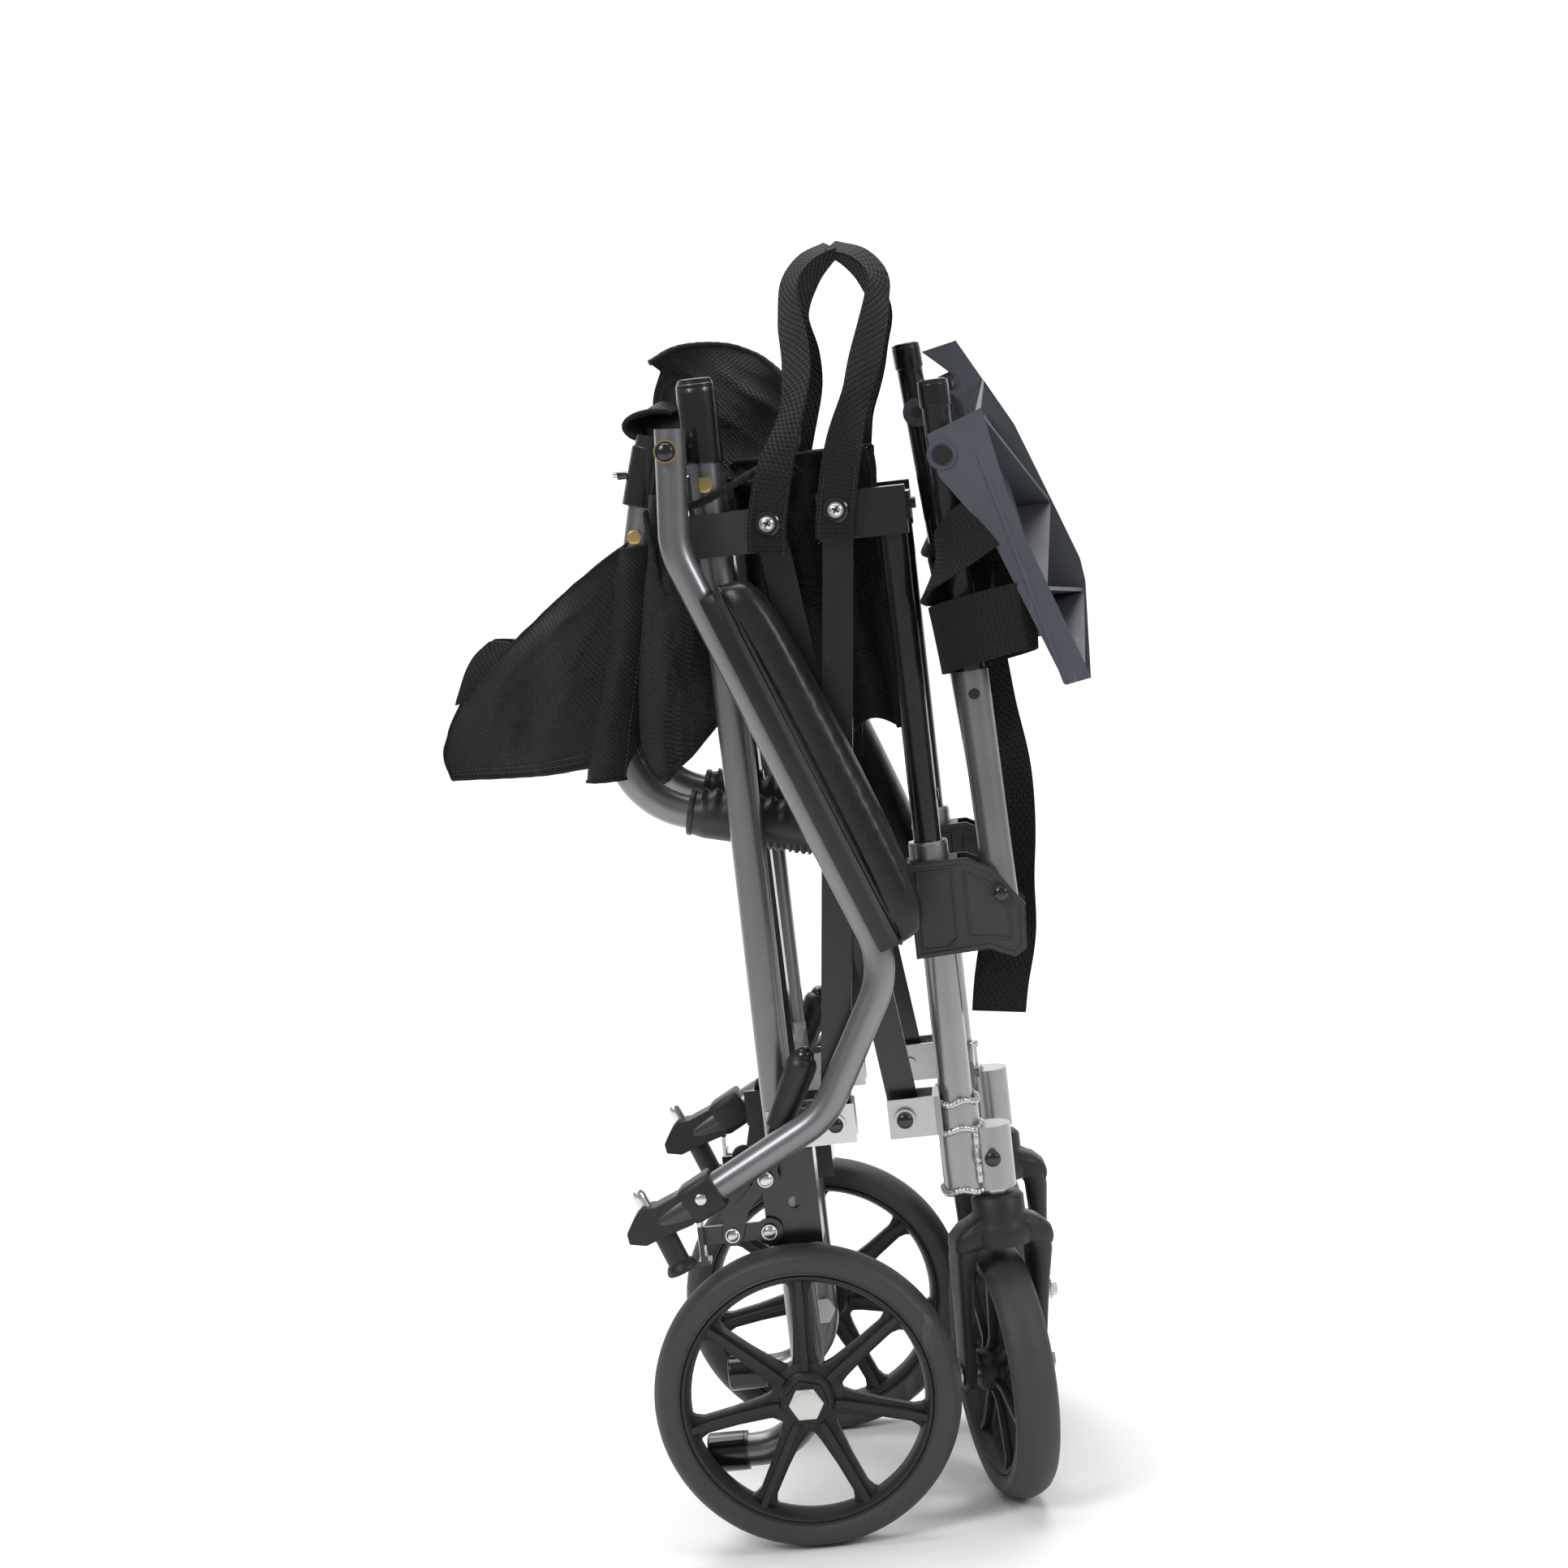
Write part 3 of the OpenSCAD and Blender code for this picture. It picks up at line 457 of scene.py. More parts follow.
def spread(points: Sequence[Point], count: int) -> list[Vector]:
    """Points evenly spaced along a smooth curve through the given ones.

    Args:
        points: The points, in mm.
        count: How many to return.

    Returns:
        The evenly spaced points.
    """
    line = smooth_path(points, 10)
    run = [0.0]
    for a, b in zip(line, line[1:]):
        run.append(run[-1] + (b - a).length)
    out, k = [], 0
    for i in range(count):
        want = run[-1] * i / (count - 1)
        while k < len(run) - 2 and run[k + 1] < want:
            k += 1
        span = max(run[k + 1] - run[k], 1e-9)
        out.append(line[k].lerp(line[k + 1], min(1.0, (want - run[k]) / span)))
    return out


def turns(count: int) -> list[float]:
    """Evenly spaced angles of one full turn, in radians."""
    return [2 * math.pi * k / count for k in range(count)]


def squared(turn: float, across: float, up: float) -> Flat:
    """Cosine and sine of a turn, pushed out towards a square's corners by two powers below 1."""
    c, s = math.cos(turn), math.sin(turn)
    return math.copysign(abs(c) ** across, c), math.copysign(abs(s) ** up, s)


def put_in_scene(name: str, data: bpy.types.ID) -> bpy.types.Object:
    """Puts a new object in the scene.

    Args:
        name: The object's name.
        data: What it holds.

    Returns:
        The object.
    """
    made = bpy.data.objects.new(name, data)
    bpy.context.scene.collection.objects.link(made)
    return made


def merge(data: bpy.types.Mesh, closed: bool = True) -> None:
    """Merges doubled points, and turns a closed shape's faces outwards.

    Args:
        data: The mesh.
        closed: Whether its faces are turned outwards together.
    """
    work = bmesh.new()
    work.from_mesh(data)
    bmesh.ops.remove_doubles(work, verts=work.verts, dist=1e-7)
    if closed:
        bmesh.ops.recalc_face_normals(work, faces=work.faces)
    work.to_mesh(data)
    work.free()


class Drawing:
    """Faces gathered in the drawing's millimetres, on the right-hand side, for one piece."""

    def __init__(self) -> None:
        """Starts an empty drawing."""
        self.points: list[Vector] = []
        self.faces: list[tuple[int, ...]] = []
        self.cloth: list[list[Flat]] = []

    def add(self, points: Iterable[Vector], faces: Iterable[Sequence[int]],
            cloth: Iterable[Sequence[Flat]] | None = None) -> "Drawing":
        """Adds points and the faces on them.

        Args:
            points: New points.
            faces: Faces, numbered from the first new point.
            cloth: UV of each face's corners, in metres.

        Returns:
            This drawing.
        """
        base = len(self.points)
        self.points += [Vector(p) for p in points]
        faces = [tuple(i + base for i in f) for f in faces]
        self.faces += faces
        self.cloth += list(cloth) if cloth else [[(0.0, 0.0)] * len(f) for f in faces]
        return self

    def rings(self, rings: Sequence[Sequence[Vector]], ends: bool = True,
              loop: bool = False) -> "Drawing":
        """A skin over rings of equal length.

        Args:
            rings: The rings in order.
            ends: Whether the first and last ring are closed with a face.
            loop: Whether the last ring joins the first.

        Returns:
            This drawing.
        """
        n, m = len(rings[0]), len(rings)
        around = [0.0]
        for a, b in zip(rings[0], list(rings[0][1:]) + [rings[0][0]]):
            around.append(around[-1] + (b - a).length * MM)
        along = [0.0]
        for a, b in zip(rings, rings[1:]):
            along.append(along[-1] + (b[0] - a[0]).length * MM)
        along.append(along[-1] * m / max(1, m - 1))
        faces, cloth = [], []
        for i in range(m if loop else m - 1):
            for k in range(n):
                j, l = (i + 1) % m, (k + 1) % n
                faces.append((i * n + k, i * n + l, j * n + l, j * n + k))
                cloth.append([(around[k], along[i]), (around[k + 1], along[i]),
                              (around[k + 1], along[i + 1]), (around[k], along[i + 1])])
        if ends and not loop:
            faces += [tuple(range(n))[::-1], tuple(range((m - 1) * n, m * n))]
            cloth += [[(0.0, 0.0)] * n] * 2
        return self.add([p for r in rings for p in r], faces, cloth)

    def tube(self, path: Sequence[Vector], radius: float | Callable[[float], float],
             sides: int = 24, flat: float = 1.0) -> "Drawing":
        """A round or oval bar along a path.

        Args:
            path: Its centre line.
            radius: The radius, or a function of the share of the way along.
            sides: Corners of each ring.
            flat: How far the ring is flattened.

        Returns:
            This drawing.
        """
        path = [Vector(p) for p in path]
        rings, last = [], len(path) - 1
        side = Vector((0, 1, 0))
        for i, p in enumerate(path):
            way = (path[min(i + 1, last)] - path[max(i - 1, 0)]).normalized()
            side = side - way * side.dot(way)
            if side.length < 1e-4:
                side = way.orthogonal()
            side.normalize()
            up = way.cross(side)
            r = radius(i / last) if callable(radius) else radius
            rings.append([p + (side * math.cos(a) + up * math.sin(a) * flat) * r
                          for a in turns(sides)])
        return self.rings(rings)

    def lathe(self, profile: Sequence[Flat], centre: Point, axis: Point,
              steps: int = 72) -> "Drawing":
        """A closed profile of (radius, distance along) turned about an axis.

        Args:
            profile: The closed outline.
            centre: Where distance 0 is.
            axis: The axis.
            steps: Steps round it.

        Returns:
            This drawing.
        """
        z = Vector(axis).normalized()
        x = z.orthogonal().normalized()
        y = z.cross(x)
        rings = []
        for a in turns(steps):
            out = x * math.cos(a) + y * math.sin(a)
            rings.append([Vector(centre) + out * r + z * t for r, t in profile])
        return self.rings(rings, loop=True)

    def prism(self, outline: Sequence[Flat], y0: float, y1: float) -> "Drawing":
        """An outline of (x, z) drawn out from y0 to y1."""
        return self.rings([[Vector((x, y, z)) for x, z in outline] for y in (y0, y1)])

    def box(self, low: Point, high: Point) -> "Drawing":
        """A box between two corners."""
        (a, b, c), (d, e, f) = low, high
        return self.prism([(a, c), (d, c), (d, f), (a, f)], b, e)

    def band(self, path: Sequence[Vector], across: Sequence[Vector], wide: float,
             thick: float = 0.0, cells: int = 4) -> "Drawing":
        """A flat strip along a path, with UV in metres.

        Args:
            path: Its centre line.
            across: The direction of its width, at each point.
            wide: Its width in mm.
            thick: Its thickness in mm; 0 leaves an open sheet.
            cells: Cells across the width.

        Returns:
            This drawing.
        """
        last = len(path) - 1
        rings = []
        for i, p in enumerate(path):
            way = (path[min(i + 1, last)] - path[max(i - 1, 0)]).normalized()
            side = (across[i] - way * across[i].dot(way)).normalized()
            out = way.cross(side) * thick / 2
            row = [p + side * wide * (k / cells - 0.5) for k in range(cells + 1)]
            rings.append([q + out for q in row] + [q - out for q in reversed(row)] if thick
                         else row)
        return self.rings(rings) if thick else self.grid(rings)

    def grid(self, rows: Sequence[Sequence[Vector]]) -> "Drawing":
        """An open sheet, with UV in metres that follow its middle lines.

        Args:
            rows: Rows of points, all of one length.

        Returns:
            This drawing.
        """
        m, n = len(rows), len(rows[0])
        u, v = [0.0], [0.0]
        for k in range(n - 1):
            u.append(u[-1] + (rows[m // 2][k + 1] - rows[m // 2][k]).length * MM)
        for i in range(m - 1):
            v.append(v[-1] + (rows[i + 1][n // 2] - rows[i][n // 2]).length * MM)
        faces, cloth = [], []
        for i in range(m - 1):
            for k in range(n - 1):
                faces.append((i * n + k, i * n + k + 1, (i + 1) * n + k + 1, (i + 1) * n + k))
                cloth.append([(u[k], v[i]), (u[k + 1], v[i]), (u[k + 1], v[i + 1]),
                              (u[k], v[i + 1])])
        return self.add([p for r in rows for p in r], faces, cloth)

    def area(self) -> float:
        """The drawing's surface.

        Returns:
            Its area in square metres.
        """
        total = 0.0
        for f in self.faces:
            p = [self.points[i] for i in f]
            for k in range(1, len(p) - 1):
                total += (p[k] - p[0]).cross(p[k + 1] - p[0]).length / 2
        return total * MM * MM

    def make(self, name: str, finish: Finish, side: Side = Side.RIGHT, bevel: float = 0.0,
             rounds: int = 0, thick: float = 0.0, sharp: float = 35.0,
             closed: bool = True) -> bpy.types.Object:
        """Turns the drawing into a finished object.

        Args:
            name: The object's name.
            finish: Its finish.
            side: The side; the left one is mirrored.
            bevel: Width of the rounded edges, in mm.
            rounds: Subdivision levels.
            thick: Cloth thickness given by Solidify, in mm.
            sharp: Edges bent more than this many degrees stay sharp.
            closed: Whether its faces are turned outwards together.

        Returns:
            The object, at the origin.
        """
        mirror = -1.0 if side is Side.LEFT else 1.0
        data = bpy.data.meshes.new(name)
        data.from_pydata([at(p.x, p.y * mirror, p.z) for p in self.points], [], self.faces)
        uv = data.uv_layers.new(name="cloth")
        corners = [c for f in self.cloth for c in f]
        for loop, value in zip(uv.data, corners):
            loop.uv = value
        merge(data, closed)
        data.shade_smooth()
        if not rounds:
            data.set_sharp_from_angle(angle=math.radians(sharp))
        made = put_in_scene(name, data)
        data.materials.append(finish.material())
        if thick:
            wall = made.modifiers.new("cloth", "SOLIDIFY")
            wall.thickness, wall.offset = thick * MM, 0.0
        if bevel:
            edge = made.modifiers.new("edges", "BEVEL")
            edge.width, edge.segments, edge.limit_method = bevel * MM, 3, "ANGLE"
            edge.angle_limit = math.radians(32)
            edge.harden_normals = True
        if rounds:
            fine = made.modifiers.new("fine", "SUBSURF")
            fine.levels = fine.render_levels = rounds
        return made


def round_bar(a: Flat, b: Flat, half: float) -> list[Flat]:
    """The outline of a flat bar with round ends.

    Args:
        a: The middle of one end.
        b: The middle of the other.
        half: Half its width.

    Returns:
        The outline.
    """
    way = math.atan2(b[1] - a[1], b[0] - a[0])
    ends = [way + math.pi / 2 + math.pi * i / 12 for i in range(13)]
    first = [(a[0] + math.cos(t) * half, a[1] + math.sin(t) * half) for t in ends]
    return first + [(b[0] - math.cos(t) * half, b[1] - math.sin(t) * half) for t in ends]


def ripple(p: Vector, size: float, scale: float, seed: float = 0.0) -> Vector:
    """A point moved by soft noise.

    Args:
        p: The point in mm.
        size: How far it moves, in mm.
        scale: How wide a fold is, in mm.
        seed: Picks another pattern.

    Returns:
        The moved point.
    """
    q = p / scale + Vector((seed, seed * 1.7, seed * 0.3))
    return p + Vector((noise.noise(q), noise.noise(q + Vector((7.1, 0, 0))),
                       noise.noise(q + Vector((0, 9.3, 0))))) * size


def crease(p: Vector, along: Point, size: float, narrow: float, seed: float) -> Vector:
    """A point pushed towards -Y by sharp folds that run along a direction.

    Args:
        p: The point in mm.
        along: The direction of the folds.
        size: Their height, in mm.
        narrow: Their spacing, in mm.
        seed: Picks another pattern.

    Returns:
        The moved point.
    """
    way = Vector(along).normalized()
    over = way.cross(Vector((0, 1, 0)))
    q = Vector((p.dot(over) / narrow, p.dot(way) / (narrow * 4.5), seed))
    ridge = (1 - abs(noise.noise(q)) * 2.2)
    fine = (1 - abs(noise.noise(q * 2.3 + Vector((5, 0, 0)))) * 2.2)
    return p - Vector((0, size * (max(0.0, ridge) ** 2 + 0.4 * max(0.0, fine) ** 2), 0))


def patch(top: Sequence[Point], low: Sequence[Point], start: Sequence[Point],
          end: Sequence[Point], n: int = 28, m: int = 28) -> list[list[Vector]]:
    """A sheet stretched smoothly between four edges.

    Args:
        top: Edge from start's first point to end's first point.
        low: Edge from start's last point to end's last point.
        start: Edge where top and low begin.
        end: Edge where they end.
        n: Columns.
        m: Rows.

    Returns:
        Rows of points.
    """
    t, b, l, r = spread(top, n), spread(low, n), spread(start, m), spread(end, m)
    rows = []
    for i in range(m):
        v = i / (m - 1)
        row = []
        for k in range(n):
            u = k / (n - 1)
            edges = t[k] * (1 - v) + b[k] * v + l[i] * (1 - u) + r[i] * u
            corner = (t[0] * (1 - u) * (1 - v) + t[-1] * u * (1 - v) + b[0] * (1 - u) * v
                      + b[-1] * u * v)
            row.append(edges - corner)
        rows.append(row)
    return rows


# ---- geometry nodes ----------------------------------------------------------------------


class Maker:
    """A Geometry Nodes tree with named inputs, run once on an object to make a plain mesh."""

    def __init__(self, name: str, inputs: dict[str, tuple[str, object]]) -> None:
        """Starts the tree.

        Args:
            name: The tree's name.
            inputs: Input names with their socket type's last word and default value.
        """
        self.tree = bpy.data.node_groups.new(name, "GeometryNodeTree")
        face = self.tree.interface
        face.new_socket("Geometry", in_out="INPUT", socket_type="NodeSocketGeometry")
        for key, (kind, value) in inputs.items():
            made = face.new_socket(key, in_out="INPUT", socket_type="NodeSocket" + kind)
            if value is not None:
                made.default_value = value
        face.new_socket("Geometry", in_out="OUTPUT", socket_type="NodeSocketGeometry")
        self.into = self.tree.nodes.new("NodeGroupInput")
        self.out = self.tree.nodes.new("NodeGroupOutput")

    def node(self, kind: str, links: dict | None = None, **settings: object) -> bpy.types.Node:
        """Adds a node to the tree."""
        return add_node(self.tree, kind, links, **settings)

    def end(self, instances: object) -> None:
        """Finishes the tree: instances made real, and given the material.

        Args:
            instances: The socket that gives the instances.
        """
        real = self.node("GeometryNodeRealizeInstances", {0: instances})
        dressed = self.node("GeometryNodeSetMaterial", {"Geometry": real.outputs[0],
                                                        "Material": self.into.outputs["Material"]})
        self.tree.links.new(dressed.outputs[0], self.out.inputs[0])

    def run(self, thing: bpy.types.Object, finish: Finish, **values: object) -> bpy.types.Object:
        """Runs the tree on an object and keeps the result as its mesh.

        Args:
            thing: The object that the tree is given.
            finish: The finish of what is made.
            **values: The other inputs by name.

        Returns:
            The same object with its new mesh.
        """
        step = thing.modifiers.new("maker", "NODES")
        step.node_group = self.tree
        ids = {s.name: s.identifier for s in self.tree.interface.items_tree
               if s.item_type == "SOCKET" and s.in_out == "INPUT"}
        for key, value in {**values, "Material": finish.material()}.items():
            step[ids[key]] = value
        seen = thing.evaluated_get(bpy.context.evaluated_depsgraph_get())
        data = bpy.data.meshes.new_from_object(seen)
        thing.modifiers.remove(step)
        thing.data = data
        data.name = thing.name
        data.materials.clear()
        data.materials.append(finish.material())
        data.shade_smooth()
        data.set_sharp_from_angle(angle=math.radians(38))
        return thing


def screw_maker() -> Maker:
    """Domed heads on every point of a mesh, standing along the point's "aim".

    Returns:
        The maker.
    """
    m = Maker("pan_screws", {"Radius": ("Float", 0.004), "Height": ("Float", 0.002),
                             "Sides": ("Int", ROUND), "Dome": ("Float", 0.32),
                             "Material": ("Material", None)})
    half = m.node("ShaderNodeMath", {0: m.into.outputs["Height"], 1: 0.5}, operation="MULTIPLY")
    body = m.node("GeometryNodeMeshCylinder", {"Vertices": m.into.outputs["Sides"],
                                               "Radius": m.into.outputs["Radius"],
                                               "Depth": m.into.outputs["Height"]})
    up = m.node("ShaderNodeCombineXYZ", {2: half.outputs[0]})
    lift = m.node("GeometryNodeTransform", {"Geometry": body.outputs["Mesh"],
                                            "Translation": up.outputs[0]})
    ball = m.node("GeometryNodeMeshUVSphere", {"Segments": 24, "Rings": 10,
                                               "Radius": m.into.outputs["Radius"]})
    top = m.node("ShaderNodeCombineXYZ", {2: m.into.outputs["Height"]})
    size = m.node("ShaderNodeCombineXYZ", {0: 0.84, 1: 0.84, 2: m.into.outputs["Dome"]})
    dome = m.node("GeometryNodeTransform", {"Geometry": ball.outputs["Mesh"],
                                            "Translation": top.outputs[0],
                                            "Scale": size.outputs[0]})
    both = m.node("GeometryNodeJoinGeometry")
    for part in (lift, dome):
        m.tree.links.new(part.outputs[0], both.inputs[0])
    aim = m.node("GeometryNodeInputNamedAttribute", {"Name": "aim"}, data_type="FLOAT_VECTOR")
    turn = m.node("FunctionNodeAlignRotationToVector", {"Vector": aim.outputs[0]}, axis="Z")
    put = m.node("GeometryNodeInstanceOnPoints", {"Points": m.into.outputs["Geometry"],
                                                  "Instance": both.outputs[0],
                                                  "Rotation": turn.outputs[0]})
    m.end(put.outputs[0])
    return m


def spoke_maker() -> Maker:
    """One spoke, drawn about the origin's Y axis, repeated evenly round it.

    Returns:
        The maker.
    """
    m = Maker("spokes", {"Count": ("Int", 7), "Centre": ("Vector", (0.0, 0.0, 0.0)),
                         "Axis": ("Vector", (0.0, 1.0, 0.0)), "Material": ("Material", None)})
    line = m.node("GeometryNodeMeshLine", {"Count": m.into.outputs["Count"],
                                           "Start Location": m.into.outputs["Centre"],
                                           "Offset": (0.0, 0.0, 0.0)})
    each = m.node("GeometryNodeInputIndex")
    part = m.node("ShaderNodeMath", {0: 2 * math.pi, 1: m.into.outputs["Count"]},
                  operation="DIVIDE")
    angle = m.node("ShaderNodeMath", {0: each.outputs[0], 1: part.outputs[0]},
                   operation="MULTIPLY")
    turn = m.node("FunctionNodeAxisAngleToRotation", {"Axis": m.into.outputs["Axis"],
                                                      "Angle": angle.outputs[0]})
    put = m.node("GeometryNodeInstanceOnPoints", {"Points": line.outputs[0],
                                                  "Instance": m.into.outputs["Geometry"],
                                                  "Rotation": turn.outputs[0]})
    m.end(put.outputs[0])
    return m


def stitch_maker() -> Maker:
    """Short stitches along a line of points.

    Returns:
        The maker.
    """
    m = Maker("stitches", {"Pitch": ("Float", 0.003), "Radius": ("Float", 0.0004),
                           "Material": ("Material", None)})
    curve = m.node("GeometryNodeMeshToCurve", {0: m.into.outputs["Geometry"]})
    points = m.node("GeometryNodeCurveToPoints", {"Curve": curve.outputs[0],
                                                  "Length": m.into.outputs["Pitch"]},
                    mode="LENGTH")
    ball = m.node("GeometryNodeMeshUVSphere", {"Segments": 6, "Rings": 4,
                                               "Radius": m.into.outputs["Radius"]})
    stretch = m.node("ShaderNodeMath", {0: m.into.outputs["Pitch"], 1: 0.36},
                     operation="MULTIPLY")
    ratio = m.node("ShaderNodeMath", {0: stretch.outputs[0], 1: m.into.outputs["Radius"]},
                   operation="DIVIDE")
    size = m.node("ShaderNodeCombineXYZ", {0: 1.0, 1: 1.0, 2: ratio.outputs[0]})
    turn = m.node("FunctionNodeAlignRotationToVector", {"Vector": points.outputs["Tangent"]},
                  axis="Z")
    put = m.node("GeometryNodeInstanceOnPoints", {"Points": points.outputs[0],
                                                  "Instance": ball.outputs["Mesh"],
                                                  "Rotation": turn.outputs[0],
                                                  "Scale": size.outputs[0]})
    m.end(put.outputs[0])
    return m


def shade_maker() -> bpy.types.NodeTree:
    """Merges a node's loose triangles and shades them smooth below an angle.

    Returns:
        The tree, with its Angle input in radians.
    """
    tree = bpy.data.node_groups.new("shade_by_angle", "GeometryNodeTree")
    tree.interface.new_socket("Geometry", in_out="INPUT", socket_type="NodeSocketGeometry")
    tree.interface.new_socket("Angle", in_out="INPUT", socket_type="NodeSocketFloat")
    tree.interface.new_socket("Geometry", in_out="OUTPUT", socket_type="NodeSocketGeometry")
    into, out = tree.nodes.new("NodeGroupInput"), tree.nodes.new("NodeGroupOutput")
    one = add_node(tree, "GeometryNodeMergeByDistance", {0: into.outputs[0], "Distance": 5e-6})
    soft = add_node(tree, "GeometryNodeSetShadeSmooth", {0: one.outputs[0]}, domain="FACE")
    edge = add_node(tree, "GeometryNodeInputMeshEdgeAngle")
    steep = add_node(tree, "FunctionNodeCompare", {0: edge.outputs[0], 1: into.outputs["Angle"]},
                     operation="GREATER_THAN")
    crisp = add_node(tree, "GeometryNodeSetShadeSmooth", {0: soft.outputs[0],
                                                          1: steep.outputs[0],
                                                          2: False}, domain="EDGE")
    tree.links.new(crisp.outputs[0], out.inputs[0])
    return tree


def points_with_aim(name: str, spots: Sequence[tuple[Point, Point]],
                    side: Side) -> bpy.types.Object:
    """A mesh of loose points that carry an "aim" direction.

    Args:
        name: The object's name.
        spots: Each place in mm and its direction.
        side: The left side is mirrored.

    Returns:
        The object.
    """
    mirror = -1.0 if side is Side.LEFT else 1.0
    data = bpy.data.meshes.new(name)
    data.from_pydata([at(p[0], p[1] * mirror, p[2]) for p, _ in spots], [], [])
    aim = data.attributes.new("aim", "FLOAT_VECTOR", "POINT")
    for entry, (_, d) in zip(aim.data, spots):
        entry.vector = (d[0], d[1] * mirror, d[2])
    return put_in_scene(name, data)


def line_object(name: str, path: Sequence[Vector], side: Side) -> bpy.types.Object:
    """A mesh that is one line of edges.

    Args:
        name: The object's name.
        path: Its points in mm.
        side: The left side is mirrored.

    Returns:
        The object.
    """
    mirror = -1.0 if side is Side.LEFT else 1.0
    data = bpy.data.meshes.new(name)
    data.from_pydata([at(p.x, p.y * mirror, p.z) for p in path],
                     [(i, i + 1) for i in range(len(path) - 1)], [])
    return put_in_scene(name, data)


MAKERS: dict[str, Maker] = {}


def screws(name: str, body: str, spots: Sequence[tuple[Point, Point]], side: Side, radius: float,
           height: float, finish: Finish, sides: int = ROUND) -> bpy.types.Object:
    """Places a group of screw heads and lets them ride on a body.

    Args:
        name: The piece's name.
        body: The body it rides on.
        spots: Each place in mm and its direction.
        side: The side.
        radius: Head radius in mm.
        height: Height of the head's straight part in mm.
        finish: Its finish.
        sides: ROUND or HEXAGON.

    Returns:
        The piece.
    """
    made = MAKERS["screws"].run(points_with_aim(name, spots, side), finish, Radius=radius * MM,
                                Height=height * MM, Sides=sides,
                                Dome=0.05 if sides == HEXAGON else 0.32)
    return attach(made, body)


def stitches(name: str, path: Sequence[Vector], side: Side, pitch: float = 3.2,
             radius: float = 0.35) -> bpy.types.Object:
    """A row of stitches along a path in mm, not yet riding on anything."""
    return MAKERS["stitches"].run(line_object(name, path, side), THREAD, Pitch=pitch * MM,
                                  Radius=radius * MM)


# ---- the chair's parts -------------------------------------------------------------------


@dataclass
class RoadWheel:
    """A spoked, moulded wheel with its solid tyre, about an axle."""

    name: str
    body: str
    centre: Point
    axle: Point
    radius: float
    seat: float
    tyre_half: float
    hub: float
    hub_half: float
    count: int = 7
    first: float = 92.0
    replaces: tuple[str, ...] = ()

    def build(self) -> list[bpy.types.Object]:
        """Builds tyre, rim, hub and spokes.

        Returns:
            The pieces.
        """
        c, h = Vector(self.centre), self.tyre_half
        r, s = self.radius, self.seat
        profile = [(s - 4, -h * 0.62), (s - 2.6, -h * 0.88), (s - 1.6, -h * 0.84),
                   (s - 0.6, -h * 0.9), (s + 6, -h * 0.98), (r - 7, -h * 0.97), (r - 4, -h * 0.8),
                   (r - 1.6, -h * 0.52), (r - 0.3, -h * 0.2)]
        tyre = Drawing().lathe(profile + [(a, -t) for a, t in reversed(profile)], c, self.axle, 120)
        tyre = tyre.make(self.name + "_tread", TYRE, sharp=50)
        inner = s - 8.5
        rim = [(inner + 0.5, -h * 0.62), (inner + 2.5, -h * 0.8), (s - 4, -h * 0.8),
               (s - 3.4, -h * 0.7), (s - 3.4, h * 0.7), (s - 4, h * 0.8), (inner + 2.5, h * 0.8),
               (inner + 0.5, h * 0.62), (inner - 1.2, 0)]
        q = self.hub_half
        hub = [(5, -q + 1), (self.hub - 2, -q), (self.hub, -q + 2), (self.hub + 0.8, -7),
               (self.hub + 6, -5), (self.hub + 6, 5), (self.hub + 0.8, 7), (self.hub, q - 2),
               (self.hub - 2, q), (5, q - 1)]
        core = Drawing().lathe(rim, c, self.axle, 96).lathe(hub, c, self.axle, 48)
        core = core.make(self.name + "_rim", PLASTIC, sharp=40)
        spokes = self._spokes(inner)
        for piece in (tyre, core, spokes):
            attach(piece, self.body)
        if self.replaces:
            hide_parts(*self.replaces)
        return [tyre, core, spokes]

    def _spokes(self, inner: float) -> bpy.types.Object:
        """One I-shaped spoke with flared ends, repeated by Geometry Nodes.

        Args:
            inner: The rim's inner radius.

        Returns:
            The spokes.
        """
        axle = Vector(self.axle).normalized()
        up = Vector((0, 0, 1))
        out = Matrix.Rotation(math.radians(self.first - 90), 3, axle) @ up
        across = axle.cross(out)
        a, b = self.hub + 1, inner + 1.5
        shape = [(a, 10), (a + 5, 8.4), (a + 10, 7.4), (a + (b - a) * 0.5, 5.9), (b - 10, 5.6),
                 (b - 5, 7.4), (b - 2, 10.5), (b, 14)]
        spoke, t = Drawing(), 4.2
        rings = []
        for r, w in shape:
            rings.append([out * r + across * x + axle * y for x, y in
                          ((-w, -t + 1.2), (-w + 1.4, -t), (w - 1.4, -t), (w, -t + 1.2),
                           (w, t - 1.2), (w - 1.4, t), (-w + 1.4, t), (-w, t - 1.2))])
        spoke.rings(rings)
        rings = []
        for r in (a, a + 8, b - 8, b):
            t = 8.6 if a < r < b else 10.5
            rings.append([out * r + across * x + axle * y for x, y in
                          ((-2.1, -t), (2.1, -t), (3.0, 0), (2.1, t), (-2.1, t), (-3.0, 0))])
        spoke.rings(rings)
        data = bpy.data.meshes.new("spoke")
        data.from_pydata([p * MM for p in spoke.points], [], spoke.faces)
        merge(data)
        return MAKERS["spokes"].run(put_in_scene(self.name + "_spokes", data), PLASTIC,
                                    Count=self.count, Centre=at(*self.centre),
                                    Axis=tuple(axle))


